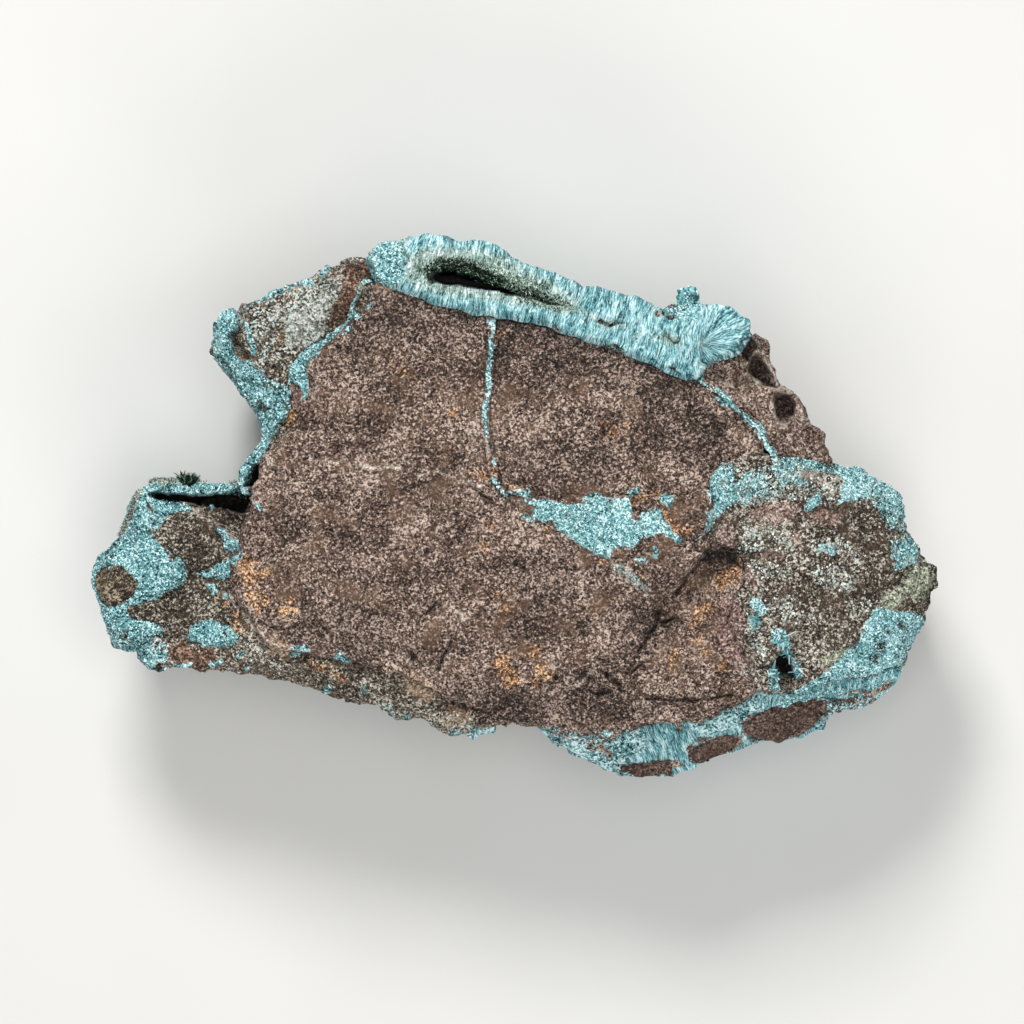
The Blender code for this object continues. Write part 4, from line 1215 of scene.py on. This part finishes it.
def attribute(wire, name, output=2):
    """What the mesh keeps on its points: output 2 is a number and 1 a vector."""
    return wire.make("ShaderNodeAttribute", {"attribute_name": name}, {}, output)


def begin(name):
    """A new finish, its shader, and the place on the object in millimetres."""
    material = bpy.data.materials.new(name)
    material.use_nodes = True
    tree = material.node_tree
    shader = tree.nodes["Principled BSDF"]
    place = Wire(tree.nodes.new("ShaderNodeTexCoord").outputs["Object"]) * (1.0 / MM)
    return material, shader, place


SHINE = 0.35


def end(material, shader, colour, roughness, height, relief):
    """Feeds the shader; relief is how high the finest bumps are, in millimetres."""
    links = material.node_tree.links
    links.new(colour.socket, shader.inputs["Base Color"])
    links.new(roughness.socket, shader.inputs["Roughness"])
    bump = height.make(
        "ShaderNodeBump", {}, {"Height": height, "Distance": relief * MM, "Strength": 1.0}
    )
    links.new(bump.socket, shader.inputs["Normal"])
    shader.inputs["Specular IOR Level"].default_value = SHINE
    return material


print("shine of the finishes", SHINE)

# %% [markdown]
# The rock is a fine sandpaper of grains. Its colour follows the same pattern as its bumps, so besides the
# grains' own tones it carries painted shading in the gaps and painted highlights on the tips. `grained`
# turns that one pattern into a colour through three tones. `marked` reads a mark, with an edge broken up
# by noise, and `threads` is the pattern of fibres across a vein.


# %% Patterns
def grain_level(place, size, broad_size):
    """How light each grain is, and how high it stands: the two share their noise, so the colour carries
    painted shading in the gaps and painted highlights on the tips.
    """
    fine = cloud(place, size, 3.0, 0.7)
    grain = random_share(place, size * 1.2)
    broad = cloud(place, broad_size, 2.0, 0.6)
    return fine * 1.7 + grain * 0.35 + broad * 0.6, fine * 0.75 + grain * 0.25


DARKEST = 1.09
LIGHTEST = 1.63


def grained(level, dark, middle, light, low=DARKEST, high=LIGHTEST):
    """Three tones through the grain pattern; as the pattern also sets the bumps, the dark tone is painted
    shading in the gaps and the light one a painted highlight on the tips.
    """
    centre = (low + high) / 2.0
    colour = mix(step(level, low, centre), tone(*dark), tone(*middle))
    return mix(step(level, centre, high), colour, tone(*light))


def marked(fray, name, soft=0.10, broken=0.7):
    """1 inside a mark, 0 outside it, with an edge that the noise `fray` breaks up."""
    return step(attribute(fray, name) + fray * broken, -soft, soft)


def threads(place):
    """Fibres that run across a vein, as a streak pattern."""
    fibre = attribute(place, "fibre", 1)
    along, across, deep = (
        fibre.make("ShaderNodeSeparateXYZ", {}, {0: fibre}, axis) for axis in range(3)
    )
    thread = place.make(
        "ShaderNodeCombineXYZ", {}, {0: along * 9.0, 1: across * 1.5, 2: deep * 0.6}
    )
    bundle = place.make(
        "ShaderNodeCombineXYZ", {}, {0: along * 2.2, 1: across * 0.35, 2: deep * 0.2}
    )
    return cloud(thread, 1.0, 3.0, 0.7) * 1.7 + cloud(bundle, 1.0, 2.0) * 0.8


print("middle tone of the rock at a level of", (DARKEST + LIGHTEST) / 2.0)

# %% [markdown]
# Every kind of rock is a set of three tones: dark in the gaps, middle, and light on the tips, which puts
# painted shading and painted highlights over the kind's own tone. Before them stand how much of it covers
# the rock and how far noise breaks its edge. The marks of the same names choose the kind;
# `darker_rock_and_shade` is partly painted shading and `crack_shadow` is painted shadow.

# %% Kinds of rock
KINDS = {
    # partly the rock's own darker tone, partly painted shading
    "darker_rock_and_shade": (0.90, 3.0, ((12, 8, 6), (78, 63, 55), (182, 160, 146))),
    "rust": (0.80, 2.8, ((44, 26, 16), (156, 112, 74), (255, 214, 166))),
    "pink": (0.60, 1.8, ((70, 48, 44), (154, 124, 114), (216, 192, 182))),
    "green": (0.85, 1.6, ((54, 58, 42), (154, 160, 138), (230, 236, 212))),
    "reddish": (0.85, 1.0, ((34, 20, 14), (98, 72, 57), (176, 136, 110))),
    "frost": (0.75, 1.8, ((70, 70, 62), (176, 180, 170), (240, 246, 242))),
    "skin": (0.80, 1.8, ((90, 68, 50), (164, 138, 112), (228, 208, 184))),
    "pale": (0.90, 0.9, ((120, 104, 90), (190, 176, 160), (240, 234, 224))),
    # painted shadow in cracks and below raised edges
    "crack_shadow": (0.90, 0.7, ((6, 4, 3), (32, 24, 20), (90, 74, 64))),
}
print("kinds of rock", len(KINDS))

# %% [markdown]
# The rock's own colour comes first, with a warmer cast in slow clouds. Then light grains
# are strewn over it, `salt` says how many, and there are more of them in the `specks`
# marks. Last, each kind of rock is laid over it inside its mark.

# %% The rock's layer
GRAIN = 0.2


def rock_layer(place, fray, tones, salt):
    """Colour and bumps of the rock."""
    dark, middle, light, warm = tones
    level, height = grain_level(place, GRAIN, 4.5)
    colour = grained(level, dark, middle, light)
    colour = mix(step(cloud(place, 2.6, 2.0), 0.5, 0.72) * 0.5, colour, tone(*warm))
    salted = marked(fray, "specks", 0.6, 2.4) * 0.34 + salt
    salted = salted + (cloud(place, 1.0, 3.0, 0.7) - 0.5) * 1.2
    white = step(random_share(place, GRAIN) + salted, 0.97, 1.03)
    fleck = mix(random_share(place, 0.5), tone(222, 224, 214), tone(150, 196, 196))
    colour = mix(white * 0.9, colour, fleck)
    # the kinds include painted shading and painted shadow besides the rock's own tones
    for mark, (share, broken, kind) in KINDS.items():
        colour = mix(marked(fray, mark, 0.22, broken) * share, colour, grained(level, *kind))
    return colour, height


print("grains of the rock", GRAIN, "mm")

# %% [markdown]
# Crust is the same pattern of grains in pale blue, with the same painted shading in the gaps and painted
# highlights on the tips. On the fibrous veins it turns into silk: streaks across the vein, frayed and
# whitish in the `frost` marks, back to crumbs in the `sugar` ones and with painted shadow in the cracks.
# Green, brown and orange stains go over either.

# %% The crust's layer
STAINS = {
    "green": (0.3, 0.75, ((30, 48, 34), (116, 140, 118), (222, 232, 210))),
    "skin": (0.12, 0.85, KINDS["skin"][2]),
    "rust": (0.2, 0.6, KINDS["rust"][2]),
}


def silk_layer(place, fray, crust, crumbs, crumb_height):
    """The fibres of a vein over its crumbs."""
    streaks = threads(place)
    silk = grained(streaks, (4, 46, 56), (98, 174, 182), (222, 250, 252), 1.04, 1.43)
    silk = mix(0.2, silk, crust)
    torn = streaks * 0.62 + crumbs * 0.45
    frayed = grained(torn, (20, 36, 26), (158, 182, 170), (252, 255, 252), 1.14, 1.62)
    halo = marked(fray, "frost", 0.5, 2.2) * 0.85
    loose = marked(fray, "sugar", 0.4, 1.6)
    crust = mix(loose, mix(halo, silk, frayed), crust)
    # painted shadow: cracks and the lines below raised edges go nearly black
    crack_shadow = marked(fray, "crack_shadow", 0.1, 0.6) * 0.9
    crust = mix(crack_shadow, crust, grained(crumbs, (10, 16, 12), (60, 78, 66), (200, 220, 204)))
    fibre_height = streaks * 0.45 + crumb_height * 0.35
    return crust, fibre_height + loose * (crumb_height - fibre_height)


def crust_layer(place, fray, glow, fibrous):
    """Colour and bumps of the crust."""
    crumbs, height = grain_level(place, 0.19, 2.4)
    pale_crumbs = crumbs + marked(fray, "sugar", 0.4, 1.6) * 0.04 + glow
    crust = grained(pale_crumbs, (8, 32, 36), (104, 165, 170), (226, 250, 250), 1.12, 1.58)
    if fibrous:
        crust, height = silk_layer(place, fray, crust, crumbs, height)
    for mark, (soft, share, tones) in STAINS.items():
        crust = mix(marked(fray, mark, soft) * share, crust, grained(crumbs, *tones))
    return crust, height


print("stains on the crust", sorted(STAINS))

# %% [markdown]
# The `blue` attribute lays crust over rock. Its edge is a tenth of a millimetre wide and frayed by noise,
# and in the `mixed` marks it falls apart into blue and brown grains. The bottom of deep hollows is
# painted nearly black as painted shading, since little light gets there.

# %% Finishes of stone
BUMPS = 0.34
STONE_ROUGHNESS = 0.92


def stone_finish(name, tones, salt=0.0, glow=0.0, fibrous=False):
    """Rock and the crust on it."""
    material, shader, place = begin(name)
    fray = cloud(place, 0.45, 2.0) - 0.5
    colour, height = rock_layer(place, fray, tones, salt)
    crust, crust_height = crust_layer(place, fray, glow, fibrous)
    loose_edge = marked(fray, "mixed", 0.3) * (cloud(place, 0.42, 2.0, 0.7) - 0.55) * 5.0
    edge = attribute(place, "blue") + fray * 0.7 + loose_edge
    blue = step(edge, -0.07, 0.07)
    colour = mix(blue, colour, crust)
    height = height + blue * (crust_height - height)
    # painted shading: the bottom of deep hollows is painted nearly black
    colour = mix(step(attribute(place, "sunk"), 1.2, 2.5) * 0.92, colour, tone(12, 9, 8))
    return end(material, shader, colour, STONE_ROUGHNESS - blue * 0.12, height, BUMPS)


BROWN_TONES = ((26, 18, 14), (107, 87, 76), (210, 189, 174), (114, 88, 68))
DARK_TONES = ((18, 13, 10), (78, 66, 54), (202, 194, 178), (88, 70, 52))
GREY_TONES = ((22, 16, 12), (102, 90, 76), (222, 216, 202), (104, 84, 64))
SMOOTH_TONES = ((36, 24, 18), (88, 69, 59), (152, 132, 120), (86, 62, 50))
ROUND_TONES = ((16, 11, 7), (68, 56, 42), (176, 162, 138), (78, 62, 42))
LOBE_TONES = ((18, 13, 9), (88, 76, 64), (216, 210, 196), (92, 72, 54))
ROCK = stone_finish("brown_rock", BROWN_TONES, salt=-0.26)
GREY_ROCK = stone_finish("grey_brown_rock", GREY_TONES, salt=-0.12)
LOBE_ROCK = stone_finish("lobe_rock", LOBE_TONES, salt=-0.14, glow=0.07)
DARK_ROCK = stone_finish("dark_rock", DARK_TONES, salt=-0.12)
ROUND_ROCK = stone_finish("round_rock", ROUND_TONES, salt=-0.2)
SMOOTH_ROCK = stone_finish("smooth_rock", SMOOTH_TONES, salt=-0.3)
CRUST = stone_finish("shattuckite_crust", DARK_TONES, salt=-0.12)
THIN_CRUST = stone_finish("shattuckite_veinlet", BROWN_TONES, salt=-0.26, glow=0.08)
FIBRES = stone_finish("shattuckite_fibres", BROWN_TONES, salt=-0.2, fibrous=True)
print("finishes of stone, up to", FIBRES.name)

# %% [markdown]
# The lining of the hollow is dark green malachite, painted almost black in its depth as painted shading.
# Loose crystals have a tone of their own each, which `tint` keeps on their points.


# %% Finishes of crystals
def green_finish(name):
    """The dark lining of the hollow, with painted shading where it is deep."""
    material, shader, place = begin(name)
    level, height = grain_level(place, 0.2, 1.6)
    colour = grained(level, (3, 8, 5), (12, 30, 20), (110, 160, 126), 1.1, 2.1)
    # painted shading: the lining goes almost black where the hollow is deep
    colour = mix(step(attribute(place, "sunk"), 0.4, 2.0) * 0.95, colour, tone(5, 6, 5))
    return end(material, shader, colour, 0.45 + height * 0.2, height, 0.3)


def crystal_finish(name, dark, middle, light, roughness, low=0.55):
    """Loose crystals: each has its own tone."""
    material, shader, place = begin(name)
    tint = attribute(place, "tint")
    colour = mix(step(tint, 0.0, low), tone(*dark), tone(*middle))
    colour = mix(step(tint, low, 1.0), colour, tone(*light))
    fine = cloud(place, 0.12, 2.0)
    return end(material, shader, colour, roughness + fine * 0.15, fine, 0.02)


MALACHITE = green_finish("malachite")
GREEN_CRYSTAL = crystal_finish(
    "malachite_crystal", (2, 6, 4), (10, 28, 18), (140, 196, 156), 0.3, low=0.88
)
BLUE_CRYSTAL = crystal_finish(
    "shattuckite_crystal", (36, 86, 90), (116, 176, 179), (224, 249, 249), 0.5, low=0.68
)
PALE_CRYSTAL = crystal_finish(
    "pale_crystal", (88, 84, 72), (176, 178, 166), (240, 246, 240), 0.4
)
MINT_CRYSTAL = crystal_finish(
    "mint_crystal", (34, 58, 44), (156, 184, 166), (238, 250, 242), 0.4
)
print("finishes", len(bpy.data.materials))

# %% [markdown]
# Now each piece in turn. The large rocks have a broad dull face and rough sides. Squares of
# about half a millimetre do for them, since the grains come from the finish.

# %% The rock
parts = {}
for node, patches in (("main_block", -0.15), ("upper_block", -0.1)):
    parts[node] = dress(node, 0.6, ROCK, smoothing=2, patches=patches, proud=0.12)
parts["shoulder_rock"] = dress("shoulder_rock", 0.5, ROCK, patches=0.05)
for node, finish in (
    ("upper_left_rock", GREY_ROCK), ("bottom_left_rock", GREY_ROCK), ("right_lobe", LOBE_ROCK),
):
    parts[node] = dress(node, 0.5, finish, smoothing=2, patches=0.12)

# %% [markdown]
# The veins hold the rocks together. Thin ones need small squares, or the remesh would lose
# them, and hardly stand proud. Two veins are fibrous and get a seam.

# %% The veins and crusts
THIN = ((0.35, 10.0),)
parts["top_vein"] = dress("top_vein", 0.5, FIBRES, crust=True, suture=SUTURE)
parts["left_vein"] = dress("left_vein", 0.4, CRUST, crust=True, patches=-0.1)
for node in ("upright_vein", "slanted_vein"):
    parts[node] = dress(
        node, 0.2, THIN_CRUST, crust=True, smoothing=0, dividing=THIN, grow=0.02,
        patches=1.5, proud=0.05
    )
parts["ledge_crust"] = dress(
    "ledge_crust", 0.4, THIN_CRUST, crust=True, patches=0.8, proud=0.15
)
parts["lower_left_crust"] = dress("lower_left_crust", 0.5, CRUST, crust=True, patches=-0.1)
parts["bottom_vein"] = dress(
    "bottom_vein", 0.5, FIBRES, crust=True, suture=LOWER_SUTURE, patches=0.25
)

# %% [markdown]
# Six fragments of rock float in the crusts, three dark ones and three smooth ones, and the
# hollow in the top vein has its green lining.

# %% Fragments and lining
for clast, finish in (
    ("diamond", DARK_ROCK), ("round", ROUND_ROCK), ("wedge", DARK_ROCK),
    ("right", SMOOTH_ROCK), ("middle", SMOOTH_ROCK), ("low", SMOOTH_ROCK),
):
    node = clast + "_fragment"
    parts[node] = dress(node, 0.3, finish, smoothing=0, dividing=THIN)
parts["vug_crust"] = dress("vug_crust", 0.25, MALACHITE, smoothing=0, dividing=THIN)

# %% [markdown]
# The finest relief is loose crystals. One small crystal is made with operators, a pointed
# one, a blade or a roundish grain, and its points are kept as a pattern for the copies.


# %% Patterns of crystals
def points_and_faces(bm):
    """What a small mesh is made of, as arrays."""
    points = np.array([vert.co for vert in bm.verts])
    faces = np.array([[vert.index for vert in face.verts] for face in bm.faces])
    bm.free()
    return points, faces


def template(sides, taper, depth):
    """Points and faces of one crystal that stands on the origin, one unit high and wide."""
    bm = bmesh.new()
    bmesh.ops.create_cone(
        bm, cap_ends=True, cap_tris=True, segments=sides, radius1=0.5, radius2=0.5 * taper,
        depth=1.0,
    )
    bmesh.ops.translate(bm, vec=(0.0, 0.0, 0.5 - depth), verts=bm.verts[:])
    bmesh.ops.triangulate(bm, faces=bm.faces[:])
    return points_and_faces(bm)


def granule():
    """Points and faces of one roundish grain."""
    bm = bmesh.new()
    bmesh.ops.create_icosphere(bm, subdivisions=1, radius=0.5)
    return points_and_faces(bm)


POINTED = template(5, 0.12, 0.2)
BLADE = template(4, 0.5, 0.1)
GRANULE = granule()
print("triangles of one:", len(POINTED[1]), "pointed,", len(BLADE[1]), "blade,", len(GRANULE[1]), "grain")

# %% [markdown]
# Copies are set on the surface below random spots inside the marks, turned and tinted at
# random as well. The first hit from above counts, so they sit on top. All of one kind are
# joined to one mesh.

# %% Scattering
MOST_ROUNDS = 60
CAST_FROM = 0.05


def seats(carriers, marks, count, rng):
    """Places and normals on the carriers, at random spots inside marks of the display face."""
    graph = bpy.context.evaluated_depsgraph_get()
    trees = [BVHTree.FromObject(carrier, graph) for carrier in carriers]
    places = np.vstack([places for _, places, _ in marks])
    widest = max(half_width for _, _, half_width in marks)
    low = places.min(axis=0) - widest
    high = places.max(axis=0) + widest
    found = []
    for _ in range(MOST_ROUNDS):
        flat = rng.uniform(low, high, (count * 4, 2))
        flat = flat[field(flat, marks) > 0.0]
        for x, y in flat:
            hits = [tree.ray_cast((x * MM, y * MM, CAST_FROM), (0.0, 0.0, -1.0)) for tree in trees]
            hits = [hit for hit in hits if hit[0] is not None]
            if hits:
                nearest = max(hits, key=lambda hit: hit[0].z)
                found.append((nearest[0] / MM, nearest[1]))
            if len(found) == count:
                return found
    return found


def scatter(name, shape, carriers, marks, count, lengths, widths, lean, finish, slot, seed):
    """Sets crystals on the carriers inside the marks."""
    rng = np.random.default_rng(seed)
    points, faces = shape
    all_points = []
    all_faces = []
    tints = []
    for index, (place, normal) in enumerate(seats(carriers, marks, count, rng)):
        away = Vector(rng.normal(0.0, lean, 3))
        turn = (normal + away).to_track_quat("Z", "Y").to_matrix()
        length = rng.uniform(*lengths)
        width = rng.uniform(*widths)
        sized = points * np.array([width, width, length])
        all_points.append(sized @ np.array(turn).T + np.array(place))
        all_faces.append(faces + index * len(points))
        tints.append(np.full(len(points), rng.uniform()))
    mesh = bpy.data.meshes.new(name)
    mesh.from_pydata((np.vstack(all_points) * MM).tolist(), [], np.vstack(all_faces).tolist())
    set_attribute(mesh, "tint", np.concatenate(tints))
    mesh.materials.append(finish)
    mesh.update()
    piece = bpy.data.objects.new(name, mesh)
    bpy.context.scene.collection.objects.link(piece)
    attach(piece, "root")
    made[name] = len(mesh.polygons)
    print(name, len(tints), "crystals", made[name], "triangles")


print("the rays start", CAST_FROM / MM, "mm up")

# %% [markdown]
# The hollow in the top vein is lined with tiny green crystals, and a few pale ones among them are painted
# glints: their pale colour stands in for the sparkle of the druse. Its rim is fringed with green and
# whitish ones, and the whitish ones spread over its narrow right end and over the brow above it.

# %% The hollow in the top vein
VUG_AREA = [area((430, 269), (440, 262), (460, 261), (480, 267), (500, 276), (520, 285),
                 (545, 295), (558, 303), (535, 298), (512, 292), (492, 286), (474, 282),
                 (458, 276), (446, 272), (436, 276))]
VUG_RIM = [line(4, (424, 273), (440, 263), (462, 262), (484, 268), (510, 279), (540, 290),
                (562, 304), (572, 311)),
           line(2.5, (520, 300), (545, 306), (560, 312))]
HOLLOW = [parts["vug_crust"], parts["top_vein"]]
scatter("vug_druse", POINTED, HOLLOW, VUG_AREA, 3000, (0.12, 0.34), (0.06, 0.13), 0.7,
        GREEN_CRYSTAL, "malachite", 1)
# painted glints: pale crystals that stand in for the sparkle of the druse
scatter("vug_painted_glints", POINTED, HOLLOW, VUG_AREA, 150, (0.12, 0.26), (0.06, 0.12), 0.7,
        PALE_CRYSTAL, "malachite", 12)
scatter("vug_fringe_green", POINTED, HOLLOW, VUG_RIM, 900, (0.12, 0.3), (0.06, 0.12), 0.7,
        GREEN_CRYSTAL, "malachite", 2)
scatter("vug_fringe_white", POINTED, HOLLOW, VUG_RIM, 700, (0.12, 0.3), (0.06, 0.12), 0.7,
        MINT_CRYSTAL, "shattuckite", 3)
VUG_END = [area((500, 277), (520, 283), (545, 294), (566, 304), (574, 313), (560, 313), (540, 307),
                (520, 297), (505, 287))]
scatter("vug_end_white", POINTED, HOLLOW, VUG_END, 700, (0.12, 0.3), (0.06, 0.12), 0.7,
        MINT_CRYSTAL, "shattuckite", 16)
VUG_BROW = [area((464, 262), (492, 265), (515, 276), (540, 289), (534, 294), (510, 285), (490, 275))]
scatter("vug_brow_white", POINTED, HOLLOW, VUG_BROW, 560, (0.16, 0.4), (0.08, 0.16), 0.7,
        MINT_CRYSTAL, "shattuckite", 17)

# %% [markdown]
# The thin roof at the lower left is fuzzy: short needles stand up from its rim in green
# and white, and there is one small green tuft.

# %% Fuzz on the thin roof at the lower left
ROOF = [line(2.5, (138, 492), (132, 506), (127, 520), (120, 534)),
        line(2.2, (150, 482), (176, 481), (205, 481), (225, 481), (240, 483))]
TUFT = [dot(6, (184, 479), (189, 480))]
ROOF_CARRIER = [parts["lower_left_crust"]]
scatter("roof_fuzz_green", POINTED, ROOF_CARRIER, ROOF, 500, (0.2, 0.5), (0.07, 0.13), 0.9,
        GREEN_CRYSTAL, "malachite", 4)
scatter("roof_fuzz_white", POINTED, ROOF_CARRIER, ROOF, 900, (0.2, 0.45), (0.07, 0.14), 0.9,
        PALE_CRYSTAL, "shattuckite", 14)
scatter("roof_tuft", POINTED, ROOF_CARRIER, TUFT, 260, (0.5, 1.2), (0.1, 0.2), 0.8,
        GREEN_CRYSTAL, "malachite", 15)

# %% [markdown]
# The blue crusts are heaps of round grains of a tenth or two of a millimetre. Those of the
# finish are only bumps, and these stand up and cast shadows. Pale specks lie on the lobe
# and on the rock at the lower left.

# %% Grains of the blue crusts
CRUMB = ((0.1, 0.22), (0.10, 0.21), 0.5, BLUE_CRYSTAL, "shattuckite")
scatter("ledge_grains", GRANULE, [parts["ledge_crust"]], LEDGE, 1800, *CRUMB, 5)
scatter("left_grains", GRANULE, [parts["lower_left_crust"], parts["left_vein"]], LEFT, 5200, *CRUMB, 6)
scatter("lobe_grains", GRANULE, [parts["right_lobe"], parts["bottom_vein"]], LOBE, 4200, *CRUMB, 7)
scatter("knob_grains", GRANULE, [parts["top_vein"]], SUGAR, 700, *CRUMB, 10)
scatter("veinlet_grains", GRANULE, [parts["slanted_vein"], parts["upright_vein"]], VEINLETS,
        300, *CRUMB, 11)
scatter("lobe_specks", GRANULE, [parts["right_lobe"], parts["bottom_left_rock"]], SPECKS, 900,
        (0.1, 0.24), (0.12, 0.26), 0.5, PALE_CRYSTAL, "grey_brown_rock", 8)

# %% [markdown]
# A few thin blades stand beside the hole in the lobe, and the stub on the top vein is a
# bunch of larger round knobs.

# %% Blades and knobs
BLADES = [line(3, (788, 650), (796, 663), (801, 673)), dot(5, (783, 640), (757, 620), (774, 672))]
scatter("lobe_blades", BLADE, [parts["right_lobe"]], BLADES, 50, (0.5, 1.3), (0.12, 0.26), 0.7,
        BLUE_CRYSTAL, "shattuckite", 9)
STUB = [dot(5, (683, 290), (697, 291), (690, 287)), dot(4, (682, 300), (699, 300))]
scatter("stub_knobs", GRANULE, [parts["top_vein"]], STUB, 46, (0.25, 0.5), (0.35, 0.7), 0.6,
        BLUE_CRYSTAL, "shattuckite", 13)
print("triangles in all", sum(made.values()))

# %% [markdown]
# The specimen lies on its back on a plain pale floor, which leaves its colours as they are.

# %% Floor
FLOOR_SIDE = 1.2


def floor():
    """A pale sheet with a hardly visible cloud in it."""
    bm = bmesh.new()
    bmesh.ops.create_grid(bm, x_segments=2, y_segments=2, size=FLOOR_SIDE / 2)
    mesh = bpy.data.meshes.new("floor")
    bm.to_mesh(mesh)
    bm.free()
    ground = bpy.data.objects.new("floor", mesh)
    bpy.context.scene.collection.objects.link(ground)
    material, shader, place = begin("pale_floor")
    colour = mix(cloud(place, 40.0, 2.0), tone(196, 195, 192), tone(206, 205, 202))
    material.node_tree.links.new(colour.socket, shader.inputs["Base Color"])
    shader.inputs["Roughness"].default_value = 0.95
    mesh.materials.append(material)


floor()
print("floor", FLOOR_SIDE, "m square")

# %% [markdown]
# The strongest light comes slanting from beyond the top edge of the picture, which brings
# out the relief. A broad one overhead and a weak one opposite open the shadows.


# %% Lights
def lamp(name, place, aim, side, watts):
    """A square soft light."""
    light = bpy.data.lights.new(name, "AREA")
    light.size = side
    light.energy = watts
    holder = bpy.data.objects.new(name, light)
    bpy.context.scene.collection.objects.link(holder)
    holder.location = place
    holder.rotation_mode = "QUATERNION"
    holder.rotation_quaternion = (Vector(place) - Vector(aim)).to_track_quat("Z", "Y")


LIGHTS = {
    "key": ((-0.12, 0.40, 0.40), (0.0, 0.0, 0.01), 0.17, 3.4),
    "overhead": ((0.05, -0.05, 0.70), (0.0, 0.0, 0.0), 0.40, 2.2),
    "fill": ((0.12, -0.50, 0.30), (0.0, 0.0, 0.01), 0.40, 2.0),
}
SKY = (0.95, 0.97, 1.0, 1.0)
SKY_STRENGTH = 0.26
for name, values in LIGHTS.items():
    lamp(name, *values)
world = bpy.data.worlds.new("studio")
world.use_nodes = True
background = world.node_tree.nodes["Background"]
background.inputs["Color"].default_value = SKY
background.inputs["Strength"].default_value = SKY_STRENGTH
bpy.context.scene.world = world
bpy.context.scene.view_settings.view_transform = "Standard"
print("lights", sorted(LIGHTS))

# %% [markdown]
# The camera looks straight down through a long lens, as the photograph does, and frames the
# same square of the display face.

# %% Camera
FACE_HEIGHT = 0.021
LENS_AWAY = 2.0
SENSOR = 36.0
PHOTO_SIDE = 1024
camera = bpy.data.cameras.new("camera")
camera.sensor_width = SENSOR
camera.lens = SENSOR * LENS_AWAY / (PHOTO_SIDE * PIXEL * MM * (1.0 + SPREAD / 2.0))
stand = bpy.data.objects.new("camera", camera)
bpy.context.scene.collection.objects.link(stand)
middle = spot((PHOTO_SIDE / 2, PHOTO_SIDE / 2))[0] * MM
stand.location = (middle[0], middle[1], FACE_HEIGHT + LENS_AWAY)
bpy.context.scene.camera = stand
print("lens", round(camera.lens, 1))
